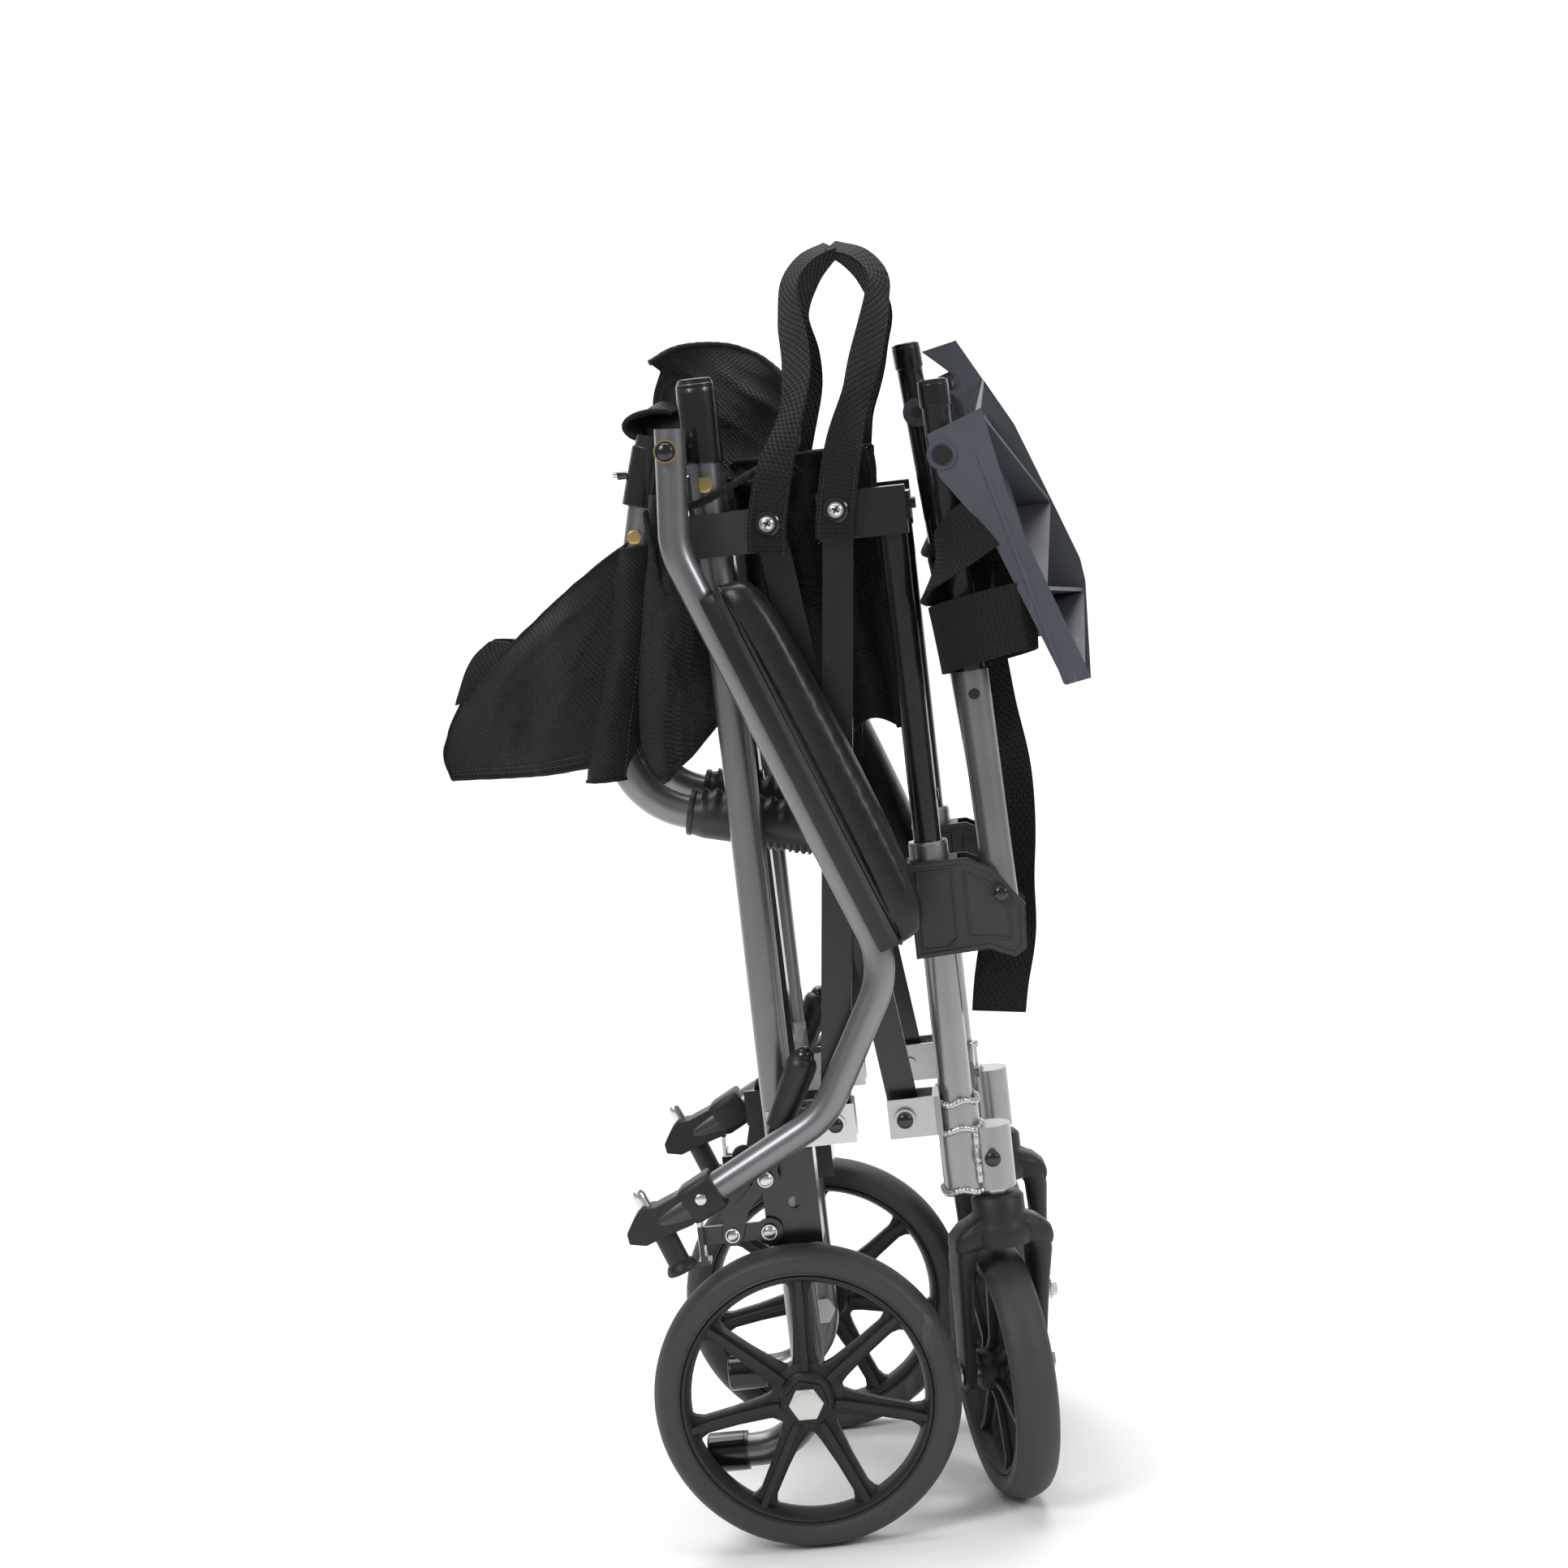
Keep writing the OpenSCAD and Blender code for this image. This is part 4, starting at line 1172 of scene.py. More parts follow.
@dataclass
class CasterSet:
    """A caster's fork, wheel and bolts, turned by a set angle about its stem."""

    side: Side
    stem_x: float = 137.0
    trail: float = 35.0

    @property
    def turn(self) -> float:
        """How far this caster is turned about its stem, in degrees."""
        return 15.0 if self.side is Side.RIGHT else 5.0

    def spot(self, x: float, y: float, z: float) -> Vector:
        """A point given about the stem, before the caster is turned.

        Args:
            x: Along the axle.
            y: The way that the axle trails.
            z: Up from the floor.

        Returns:
            The point in mm.
        """
        a = math.radians(self.turn)
        return Vector((self.stem_x + x * math.cos(a) - y * math.sin(a),
                       self.side.sign * POST_Y + x * math.sin(a) + y * math.cos(a), z))

    def build(self) -> None:
        """Builds the wheel, the fork and its bolts."""
        tag = self.side.tag
        a = math.radians(self.turn)
        axle = (math.cos(a), math.sin(a), 0.0)
        centre = tuple(self.spot(0, self.trail, CASTER_R))
        RoadWheel(f"caster_{tag}", f"caster_wheel_{tag}", centre, axle, CASTER_R, CASTER_R - 14,
                  15.0, 14.0, 17.5, first=102.0, replaces=(f"caster_wheel_{tag}",)).build()
        body = f"caster_fork_{tag}"
        fork = Drawing()
        crown = [(0.5, 217), (14.5, 217), (17.4, 214), (17.6, 202), (19.4, 197), (22, 190),
                 (20, 183), (0.5, 182)]
        fork.lathe(crown, self.spot(0, 0, 0), (0, 0, 1), 40)
        rings = []
        for x, z, tall, deep in ((-34, 184, 3, 9), (-32.5, 185, 7, 12.5), (-26, 188.5, 9.5, 15),
                                 (-14, 192, 10.5, 16.5), (0, 193, 11, 17), (14, 192, 10.5, 16.5),
                                 (26, 188.5, 9.5, 15), (32.5, 185, 7, 12.5), (34, 184, 3, 9)):
            rings.append([self.spot(x, 3 + c * deep, z + d * tall)
                          for c, d in (squared(t, 0.6, 0.6) for t in turns(24))])
        fork.rings(rings)
        for s in (-1.0, 1.0):
            rings = []
            path = [(8, 1, 203, 9, 12), (16, 2, 197, 11, 14), (23, 4, 187, 10, 15.5),
                    (26.0, 8, 174, 7.8, 15.5), (26.0, 15, 155, 6.6, 13.5),
                    (25.6, 23, 130, 5.6, 12), (25.0, 30, 108, 5.2, 11.5),
                    (24.8, 34, 95, 5.2, 12), (24.6, 36, 84, 4.8, 11), (24.4, 37, 77, 3.8, 6)]
            for x, y, z, half, wide in path:
                rings.append([self.spot(s * x + c * half, y + d * wide, z)
                              for c, d in (squared(t, 0.55, 0.7) for t in turns(20))])
            fork.rings(rings)
        piece = fork.make(f"fork_{tag}", PLASTIC, sharp=60)
        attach(piece, body)
        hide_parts(f"caster_fork_{tag}")
        stem = Drawing().tube([self.spot(0, 0, 196), self.spot(0, 0, 222)], 8.0)
        bolt = Drawing().tube([self.spot(-28, 35, 89), self.spot(28, 35, 89)], 4.6, 20)
        for piece, name in ((stem, "stem"), (bolt, "axle")):
            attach(piece.make(f"caster_{name}_{tag}", ZINC), body)
        for k, s in enumerate((-1.0, 1.0)):
            flat = (s * axle[0], s * axle[1], 0.0)
            for label, r, h, out, sides in (("washer", 9.4, 1.2, 30.2, ROUND),
                                            ("nut", 7.2, 4.2, 31.2, HEXAGON)):
                made = MAKERS["screws"].run(
                    points_with_aim(f"caster_{label}_{tag}{k}",
                                    [(tuple(self.spot(s * out, 35, 89)), flat)], Side.RIGHT),
                    ZINC, Radius=r * MM, Height=h * MM, Sides=sides, Dome=0.05)
                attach(made, body)


@dataclass
class RearWheels:
    """The two 8 inch rear wheels and their axle bolts."""

    def build(self) -> None:
        """Builds both wheels."""
        for side in Side:
            tag, s = side.tag, side.sign
            RoadWheel(f"wheel_{tag}", f"rear_wheel_{tag}", (0.0, s * WHEEL_Y, WHEEL_R), (0, 1, 0),
                      WHEEL_R, WHEEL_R - 15, 15.0, 17.7, 15.7,
                      replaces=(f"rear_wheel_{tag}", f"rear_tyre_{tag}")).build()
            y = -WHEEL_Y
            boss = Drawing().tube([Vector((0, y - 15.0, WHEEL_R)), Vector((0, y - 17.6, WHEEL_R))],
                                  14.6, 6)
            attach(boss.make(f"axle_boss_{tag}", PLASTIC, side, bevel=0.8), f"rear_wheel_{tag}")
            screws(f"axle_nut_{tag}", f"rear_post_{tag}", [((0, y - 17.4, WHEEL_R), (0, -1, 0))],
                   side, 11.2, 5.6, BOLT, HEXAGON)


@dataclass
class ArmRest:
    """The padded cushion of a swing arm, with its base, seams and bolts."""

    side: Side
    start: Point = (-22.0, -ARM_Y, 661.0)
    end: Point = (84.0, -ARM_Y, 381.0)
    out: float = -5.0
    length: Flat = (33.0, 289.0)

    def spot(self, x: float, y: float, z: float) -> Vector:
        """A point of the pad.

        Args:
            x: Down the tube.
            y: Across it.
            z: Out of the cushion.

        Returns:
            The point in mm.
        """
        way = (Vector(self.end) - Vector(self.start)).normalized()
        up = Vector((-way.z, 0, way.x)) * -1.0
        if up.x < 0:
            up = -up
        return Vector(self.start) + way * x + Vector((0, y, 0)) + up * z

    def outline(self, x: float) -> Flat:
        """The cushion's size at one place, less towards its ends.

        Args:
            x: How far down the tube.

        Returns:
            Half its width, and its height.
        """
        a, b = self.length
        t = 2 * (x - a) / (b - a) - 1
        near = max(0.0, 1 - abs(t) ** 7) ** 0.5
        return 21.8 * (0.62 + 0.38 * near), 29.0 * (0.45 + 0.55 * near)

    def build(self) -> None:
        """Builds the cushion, piping, stitches, base and bolts."""
        tag, body = self.side.tag, f"arm_{self.side.tag}"
        a, b = self.length
        rings = []
        count = 44
        for i in range(count + 1):
            s = i / count
            x = a + (b - a) * (0.5 - 0.5 * math.cos(math.pi * s)) * 0.35 + (b - a) * s * 0.65
            w, h = self.outline(x)
            if i in (0, count):
                w, h = w * 0.72, h * 0.7
            rings.append([self.spot(x, y * w + self.out, 12.0 + h / 2 + z * h / 2)
                          for y, z in (squared(t, 0.55, 0.62) for t in turns(28))])
        pad = Drawing().rings(rings).make(f"arm_cushion_{tag}", VINYL, self.side)
        swell(pad, 0.0045, 3.0, 0.0022)
        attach(pad, body)
        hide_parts(f"arm_pad_{tag}")
        loop = []
        for k in range(121):
            t = 2 * math.pi * k / 120
            x = (a + b) / 2 - math.cos(t) * (b - a) / 2
            x = min(max(x, a + 0.3), b - 0.3)
            w, h = self.outline(x)
            y = math.copysign(abs(math.sin(t)) ** 0.25, math.sin(t)) * (w + 0.6)
            loop.append(self.spot(x, y + self.out, 12.0 + h * 0.2))
        piping = Drawing().tube(loop, 1.25, 10).make(f"arm_piping_{tag}", VINYL, self.side)
        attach(piping, body)
        row = []
        for i in range(60):
            x = a + 14 + (b - a - 28) * i / 59
            w, h = self.outline(x)
            row.append(self.spot(x, w - 0.4 + self.out, 12.0 + h * 0.14))
        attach(stitches(f"arm_stitch_{tag}", row, self.side), body)
        section = [(-17, 0.5), (-19.5, 5), (-20.6, 11), (-20.6, 16), (20.6, 16), (15.4, 11),
                   (15.2, 5), (14.6, 0.5), (10.4, 0.5), (10.2, 6), (7, 10.6), (-7, 10.6),
                   (-10.2, 6), (-10.4, 0.5)]
        rows = []
        for x in (a + 2, a + 9, b - 9, b - 1):
            k = 0.86 if x in (a + 2, b - 1) else 1.0
            rows.append([self.spot(x, y * (k if abs(y) > 11 else 1) + self.out * (z > 12), z)
                         for y, z in section])
        plate = Drawing().rings(rows).make(f"arm_base_{tag}", VINYL, self.side, bevel=1.2)
        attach(plate, body)
        screws(f"arm_bolt_{tag}", body, [((-19.0, -ARM_Y - 15.6, 724), (0, -1, 0))], self.side,
               6.4, 1.2, STEEL)
        screws(f"arm_ring_{tag}", body, [((-19.0, -ARM_Y - 15.1, 724), (0, -1, 0))], self.side,
               7.6, 0.4, BRASS)
        screws(f"catch_rivet_{tag}", body, [((-53, -ARM_Y - 11.6, 243), (0, -1, 0))], self.side,
               5.0, 0.6, ZINC)
        self._catch(tag, body)

    def _catch(self, tag: str, body: str) -> None:
        """The moulded catch round the tube's free end, with its silver release pin.

        Args:
            tag: The side's letter.
            body: The body that the catch rides on.
        """
        cover = Drawing()
        way = Vector((-60 - 32, 0, 238 - 287)).normalized()
        up = Vector((-way.z, 0, way.x))
        start = Vector((-42, -ARM_Y, 248))
        rings = []
        for s, h, w in ((0, 12.4, 12.4), (1.5, 13, 13), (20, 13, 13), (24, 12, 12)):
            p = start + way * s
            rings.append([p + up * d * h + Vector((0, c, 0)) * w
                          for c, d in (squared(t, 0.35, 0.35) for t in turns(24))])
        cover.rings(rings)
        cover.prism([(-60, 250), (-84, 240), (-93, 240), (-98, 234), (-104, 224), (-103, 217),
                     (-92, 215), (-76, 221), (-60, 226), (-50, 238)], -ARM_Y - 10, -ARM_Y + 10)
        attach(cover.make(f"catch_{tag}", PLASTIC, self.side, bevel=1.0), body)
        path = [Vector((-89, -ARM_Y, 234)).lerp(Vector((-95.5, -ARM_Y, 250)), i / 6)
                for i in range(7)]
        pin = Drawing().tube(path, lambda s: 4.4 if s < 0.9 else 3.0, 20)
        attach(pin.make(f"catch_pin_{tag}", ZINC, self.side, bevel=0.5), body)
        a, b = Vector((-84, -ARM_Y, 229)), Vector((-71.5, -ARM_Y, 196))
        way = (b - a).normalized()
        knob = Drawing().tube([a, a + way * 31], 7.4, 28)
        lip = [a + way * t for t in (30, 32, 34.5, 36.5, 37.5)]
        knob.tube(lip, lambda s: 7.6 + 3.4 * math.sin(min(1.0, s * 1.5) * math.pi / 2)
                  if s < 0.9 else 9.6, 28)
        knob = knob.make(f"pin_knob_{tag}", PLASTIC, self.side, bevel=0.8)
        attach(knob, f"arm_pin_{tag}")
        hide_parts(f"arm_pin_{tag}")


def swell(thing: bpy.types.Object, voxel: float, pressure: float, cap: float) -> None:
    """Puffs a cushion with a cloth simulation and keeps the result as its mesh.

    Args:
        thing: The cushion.
        voxel: Size of the even mesh, in metres.
        pressure: The pressure inside.
        cap: The furthest that a point may move, in metres.
    """
    scene = bpy.context.scene
    even = thing.modifiers.new("even", "REMESH")
    even.mode, even.voxel_size = "VOXEL", voxel
    dg = bpy.context.evaluated_depsgraph_get()
    data = bpy.data.meshes.new_from_object(thing.evaluated_get(dg))
    thing.modifiers.remove(even)
    keep = [v.co.copy() for v in data.vertices]
    thing.data = data
    cloth = thing.modifiers.new("cloth", "CLOTH")
    cloth.settings.quality = 5
    cloth.settings.use_pressure = True
    cloth.settings.uniform_pressure_force = pressure
    cloth.settings.effector_weights.gravity = 0.0
    cloth.settings.tension_stiffness = 40
    cloth.settings.bending_stiffness = 2.0
    cloth.point_cache.frame_start, cloth.point_cache.frame_end = 1, 20
    for step in range(1, 21):
        scene.frame_set(step)
    dg = bpy.context.evaluated_depsgraph_get()
    after = bpy.data.meshes.new_from_object(thing.evaluated_get(dg))
    thing.modifiers.remove(cloth)
    scene.frame_set(1)
    for v, old in zip(after.vertices, keep):
        move = v.co - old
        if move.length > cap:
            move *= cap / move.length
        v.co = old + move
    thing.data = after
    after.name = thing.name
    after.materials.clear()
    after.materials.append(VINYL.material())
    after.shade_smooth()
    fine = thing.modifiers.new("fine", "SUBSURF")
    fine.levels = fine.render_levels = 1


@dataclass
class PushHandle:
    """Rubber grip, cap pin and nut of a push handle."""

    side: Side
    corner: Point = (-91.5, -CANE_Y, 499.0)
    end: Point = (56.0, -CANE_Y, 462.2)

    def spot(self, x: float) -> Vector:
        """A point on the grip's axis, x from the corner."""
        way = (Vector(self.end) - Vector(self.corner)).normalized()
        return Vector(self.corner) + way * x

    def build(self) -> None:
        """Builds the grip with its finger waves and ribs."""
        tag, body = self.side.tag, f"cane_{self.side.tag}"
        way = (self.spot(1) - self.spot(0)).normalized()
        up = Vector((-way.z, 0, way.x))
        up = up if up.z > 0 else -up
        total, first, count = 159.0, 57.0, 110
        rings = []
        for i in range(count + 1):
            s = i / count
            x = first + (total - first) * s
            r = 14.4 + 1.6 * min(1.0, s * 12)
            if s > 0.96:
                r *= 1 - ((s - 0.96) / 0.04) ** 2 * 0.35
            wave = 0.9 + 2.4 * math.sin((x - first) / 18.5 * 2 * math.pi) ** 2 if 0.05 < s < 0.62 \
                else 0.6
            rib = 1.5 * (math.sin((x - first) / 4.4 * 2 * math.pi) > 0) if 0.42 < s < 0.95 else 0.0
            ring = []
            for t in turns(40):
                top = max(0.0, math.sin(t)) ** 2
                low = max(0.0, -math.sin(t)) ** 6
                q = r + wave * top - top + rib * (low > 0.2)
                ring.append(self.spot(x) + Vector((0, math.cos(t), 0)) * q + up * math.sin(t) * q)
            rings.append(ring)
        grip = Drawing().rings(rings).make(f"grip_{tag}", RUBBER, self.side, sharp=50)
        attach(grip, body)
        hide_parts(f"cane_grip_{tag}")
        cuff = Drawing().tube([self.spot(first - 3), self.spot(first + 1)], 15.4, 40)
        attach(cuff.make(f"grip_cuff_{tag}", RUBBER, self.side, bevel=1.2), body)
        nut = (-52.5, -CANE_Y - 11.0, 671.0)
        screws(f"cane_nut_{tag}", body, [(nut, (0, -1, 0))], self.side, 5.2, 2.4, BRASS, HEXAGON)
        plug = Drawing().tube([Vector((-47.5, -CANE_Y, 690)), Vector((-37.5, -CANE_Y, 728))],
                              lambda s: 12.3 - 1.4 * s, 32)
        plug.tube([Vector((-37.5, -CANE_Y, 727)), Vector((-36.6, -CANE_Y, 731))],
                  lambda s: 10.9 - 2.4 * s * s, 32)
        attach(plug.make(f"cane_plug_{tag}", PLUG, self.side, bevel=0.8), body)
        stud = Drawing().tube([Vector((-44, -CANE_Y, 712)), Vector((-63, -CANE_Y, 713))],
                              lambda s: 3.4 if s < 0.75 else 3.4 - 4 * (s - 0.75), 16)
        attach(stud.make(f"cane_stud_{tag}", ZINC, self.side, bevel=0.4), body)


@dataclass
class Post:
    """Details of a rear post: moulded head, nuts, brake grip and brake bolts."""

    side: Side

    def build(self) -> None:
        """Builds the head, the brake grip and the screws."""
        side, tag, body = self.side, self.side.tag, f"rear_post_{self.side.tag}"
        y = -POST_Y
        head = Drawing().tube([Vector((0, y, z)) for z in (713.5, 716, 750, 765)],
                              lambda s: 13.1 if s < 0.99 else 12.6, 40)
        head.tube([Vector((0, y, 764.5)), Vector((0, y, 768.5))], lambda s: 12.4 - 2.0 * s * s, 40)
        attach(head.make(f"post_head_{tag}", PLUG, side, bevel=0.8), body)
        screws(f"post_nut_{tag}", body, [((0, y - TUBE_R - 3.6, 700), (0, -1, 0))], side,
               5.7, 1.4, BRASS, HEXAGON)
        screws(f"post_screws_{tag}", body, [((37, y - 15.2, 275), (0, -1, 0)),
                                            ((0, y - 15.6, 275), (0, -1, 0))], side, 5.2, 0.4,
               STEEL)
        screws(f"brake_bolts_{tag}", body, [((-14, -109.6, 209), (0, -1, 0)),
                                            ((-12, -116.8, 246), (0, -1, 0))], side, 5.2, 2.0,
               ZINC)
        screws(f"shoe_bolt_{tag}", f"brake_shoe_{tag}", [((-38, -113.4, 210), (0, -1, 0))], side,
               4.8, 1.8, ZINC)
        grip = Drawing()
        a, b = Vector((0, -114, 279)), Vector((23.5, -114, 326))
        path = [a.lerp(b, i / 24) for i in range(25)]
        grip.tube(path, lambda s: 8.6 + 1.6 * min(1.0, s * 1.4)
                  if s < 0.84 else 10.2 * math.sqrt(max(0.04, 1 - ((s - 0.84) / 0.165) ** 2)), 32)
        grip = grip.make(f"brake_grip_{tag}", RUBBER, side, sharp=60)
        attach(grip, f"brake_lever_{tag}")
        bar = Drawing().prism(round_bar((-38, 210), (-25, 262), 7.5), -113.4, -110.6)
        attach(bar.make(f"brake_bar_{tag}", STEEL, side, bevel=0.6), f"brake_lever_{tag}")
        shoe = Drawing().box((-60.5, -119.4, 194), (-57.5, -105.4, 228))
        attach(shoe.make(f"brake_plate_{tag}", ZINC, side, bevel=0.8), f"brake_shoe_{tag}")
        cap = Drawing().tube([Vector((-47, y, 58)), Vector((-73, y, 58))], 13.2, 40)
        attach(cap.make(f"tail_cap_{tag}", PLUG, side, bevel=1.6), body)


@dataclass
class FrontLeg:
    """Details of a front leg: weld beads, screws, collar, and the bracket's moulded faces."""

    side: Side
    plate: tuple[Flat, ...] = (
        (103, 380), (103, 441), (141, 441), (157, 432.5), (175, 408), (173, 380), (166, 375),
        (150, 382))
    rear_field: tuple[Flat, ...] = ((107, 384), (107, 436), (131, 436), (131, 390), (124, 384))
    front_field: tuple[Flat, ...] = (
        (138, 390), (138, 434), (153, 426), (166, 407), (166, 386), (152, 388))

    def build(self) -> None:
        """Builds the weld beads, the screws and the bracket faces."""
        side, tag, body = self.side, self.side.tag, f"front_leg_{self.side.tag}"
        y = -POST_Y
        weld = Drawing()
        for k, (z, r) in enumerate(((281, 13.2), (263, 14.4), (222, 14.2))):
            ring = [Vector((117 + math.cos(t) * r, y + math.sin(t) * r,
                            z + 1.3 * math.sin(t * 4 + k))) for t in
                    (2 * math.pi * i / 240 for i in range(241))]
            weld.tube(ring, lambda s: 2.3 + 0.28 * abs(math.sin(s * math.pi * 30)), 10)
        seam = [Vector((127.5, y - 10.5 + 0.3 * math.sin(z), z)) for z in range(226, 262)]
        weld.tube(seam, lambda s: 2.2 + 0.3 * abs(math.sin(s * 30)), 10)
        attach(weld.make(f"weld_{tag}", WELD, side, sharp=80), body)
        screws(f"leg_screws_{tag}", body, [((83, y - 21, 275), (0, -1, 0)),
                                           ((137, y - 16.5, 243), (0, -1, 0))], side, 5.4, 1.6,
               STEEL)
        screws(f"hang_bolt_{tag}", body, [((161, y - 18.6, 417), (0, -1, 0))], side, 5.6, 1.6,
               STEEL)
        face = Drawing()
        for s in (-1.0, 1.0):
            out = y + s * 15.4
            for outline, wide in ((self.plate, 2.6), (self.rear_field, 1.6),
                                  (self.front_field, 1.6)):
                self._frame(face, outline, wide, out, s)
        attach(face.make(f"bracket_face_{tag}", BLOCK, side, bevel=0.4), body)
        collar = Drawing().tube([Vector((117, y, 437)), Vector((117, y, 453))], 12.9, 40)
        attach(collar.make(f"leg_collar_{tag}", PEWTER, side, bevel=1.0), body)

    @staticmethod
    def _frame(drawing: Drawing, outline: Sequence[Flat], wide: float, y: float,
               way: float) -> None:
        """A raised edge round an outline on a face.

        Args:
            drawing: What it is added to.
            outline: The outline, in x and z.
            wide: The edge's width.
            y: Where the face is.
            way: Which way the face looks, -1 or 1.
        """
        outer = [Vector(p) for p in outline]
        middle = sum(outer, Vector((0, 0))) / len(outer)
        inner = []
        for a, p, b in zip(outer[-1:] + outer[:-1], outer, outer[1:] + outer[:1]):
            da, db = (p - a).normalized(), (b - p).normalized()
            normal = Vector((-(da + db).y, (da + db).x))
            normal = normal.normalized() if normal.length > 1e-6 else Vector((0, 1))
            if normal.dot(middle - p) < 0:
                normal = -normal
            inner.append(p + normal * wide)
        rings = []
        for p, q in zip(outer, inner):
            rings.append([Vector((p.x, y - way * 0.3, p.y)), Vector((p.x, y + way * 1.1, p.y)),
                          Vector((q.x, y + way * 1.1, q.y)), Vector((q.x, y - way * 0.3, q.y))])
        drawing.rings(rings, loop=True)


@dataclass
class Footrest:
    """Domed stem caps and the footplate's bolt."""

    side: Side

    @property
    def tilt(self) -> float:
        """How far the hanger leans back, in degrees."""
        return 1.5 if self.side is Side.RIGHT else 4.2

    @property
    def drawn(self) -> float:
        """How far the inner tube is drawn out, in mm."""
        return 0.0 if self.side is Side.RIGHT else 30.0

    def spot(self, along: float, y: float = 0.0, x: float = 0.0) -> Vector:
        """A point given about the hanger.

        Args:
            along: Up the tube from its pivot.
            y: Across the tube.
            x: Out of its front.

        Returns:
            The point in mm.
        """
        t = math.radians(self.tilt)
        return Vector((161 - along * math.sin(t) + x * math.cos(t), -POST_Y + y,
                       417 + along * math.cos(t) + x * math.sin(t)))

    def build(self) -> None:
        """Builds the cap, the bolt and the adjusting hole's rim."""
        side, tag, d = self.side, self.side.tag, self.drawn
        cap = Drawing().tube([self.spot(316 + d), self.spot(331 + d)], 10.0, 36)
        cap.tube([self.spot(330.8 + d), self.spot(334 + d)], lambda s: 9.9 - 2.2 * s, 36)
        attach(cap.make(f"stem_cap_{tag}", PLUG, side, bevel=0.8), f"hanger_{tag}")
        hole = self.spot(285 + d, -19.6)
        screws(f"plate_bolt_{tag}", f"hanger_{tag}", [(tuple(hole), (0, -1, 0))], side, 4.4, 1.2,
               ZINC)
        ring = Drawing().lathe([(6.2, 0), (6.2, -1.0), (9.2, -1.4), (10, 0)],
                               self.spot(285 + d, -19.5), (0, 1, 0), 36)
        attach(ring.make(f"plate_boss_{tag}", TRAY, side), f"footplate_{tag}")
        rim = Drawing().lathe([(0.2, 0.4), (0.2, -0.5), (3.4, -0.5), (3.8, 0.4)],
                              self.spot(130, -11.0), (0, 1, 0), 24)
        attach(rim.make(f"adjust_hole_{tag}", STEEL, side), f"hanger_{tag}")


@dataclass
class CarryStrap:
    """The lifting strap of one side: two halves that meet at the top."""

    side: Side
    wide: float = 25.0
    meet: Point = (94.0, -22.0, 846.0)

    def build(self) -> None:
        """Builds both halves, hems, washers and screws."""
        tag, y = self.side.tag, -POST_Y - 20
        near = self.side is Side.RIGHT
        lean = 0.0 if near else 8.0
        rear = [(35.5, y - 0.6, 653), (37.6, y - 0.4, 672), (46, y + 3, 705), (62, -94, 745),
                (65.5, -72, 775), (63, -48, 803), (66 + lean, -34, 826), (78 + lean, -27, 840),
                self.meet]
        front = [(80, y - 3.4, 657), (82, y - 3.2, 672), (91, y + 1, 712), (103, -92, 748),
                 (114, -66, 780), (121, -46, 804), (123 - lean, -33, 824), (112 - lean, -26, 839),
                 self.meet]
        self._half("rear", f"rear_block_{tag}", rear, -1.0)
        self._half("front", f"front_slide_{tag}", front, 1.0)

    def _half(self, name: str, body: str, points: list[Point], hand: float) -> None:
        """One half of the strap, from its screw to the top.

        Args:
            name: Which half.
            body: The body that its screw is in.
            points: Its centre line.
            hand: Which way it twists, -1 or 1.
        """
        tag = self.side.tag
        path = spread(points, 64)
        across = []
        for i in range(64):
            s = i / 63
            a = math.radians(62 * smooth(0.12, 0.42, s) + 6 * math.sin(s * 9))
            across.append(Vector((math.cos(a), math.sin(a) * hand * 0.9, 0.18 * hand)))
        strap = Drawing().band(path, across, self.wide, 1.7, 6)
        piece = strap.make(f"strap_{name}_{tag}", WEBBING, self.side, bevel=0.4)
        far = f"strap_{tag}_{name}"
        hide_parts(far)
        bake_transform(piece)
        foot = Vector(points[0])
        up = (Vector(points[1]) - foot).normalized()
        for k, w in enumerate((-0.42, 0.42)):
            row = [path[i] + across[i] * self.wide * w + Vector((0, -1.05, 0)) for i in range(12)]
            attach(stitches(f"strap_stitch_{name}_{tag}{k}", row, self.side, 2.6, 0.3), body)
        bolt = foot + up * 18
        spot = (bolt.x, bolt.y - 0.9, bolt.z)
        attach(self._ring(f"strap_ring_{name}_{tag}", spot), body)
        screws(f"strap_screw_{name}_{tag}", body, [((spot[0], spot[1] - 0.8, spot[2]), (0, -1, 0))],
               self.side, 5.0, 0.7, ZINC)
        cross = Drawing()
        for turn in (35, 125):
            c = Matrix.Rotation(math.radians(turn), 3, "Y")
            bar = [Vector((x, yy, z)) for yy in (-3.2, -3.62) for x, z in
                   ((-2.7, -0.5), (2.7, -0.5), (2.7, 0.5), (-2.7, 0.5))]
            pts = [c @ p + Vector(spot) for p in bar]
            cross.rings([pts[:4], pts[4:]])
        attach(cross.make(f"strap_slot_{name}_{tag}", STEEL, self.side), body)

    def _ring(self, name: str, spot: Point) -> bpy.types.Object:
        """A black washer under the screw.

        Args:
            name: The piece's name.
            spot: Its middle in mm.

        Returns:
            The washer.
        """
        ring = Drawing().lathe([(2, 0), (2, -1), (7.2, -1.1), (8.0, -0.5), (8.2, 0.2)], spot,
                               (0, 1, 0), 36)
        return ring.make(name, PLUG, self.side)


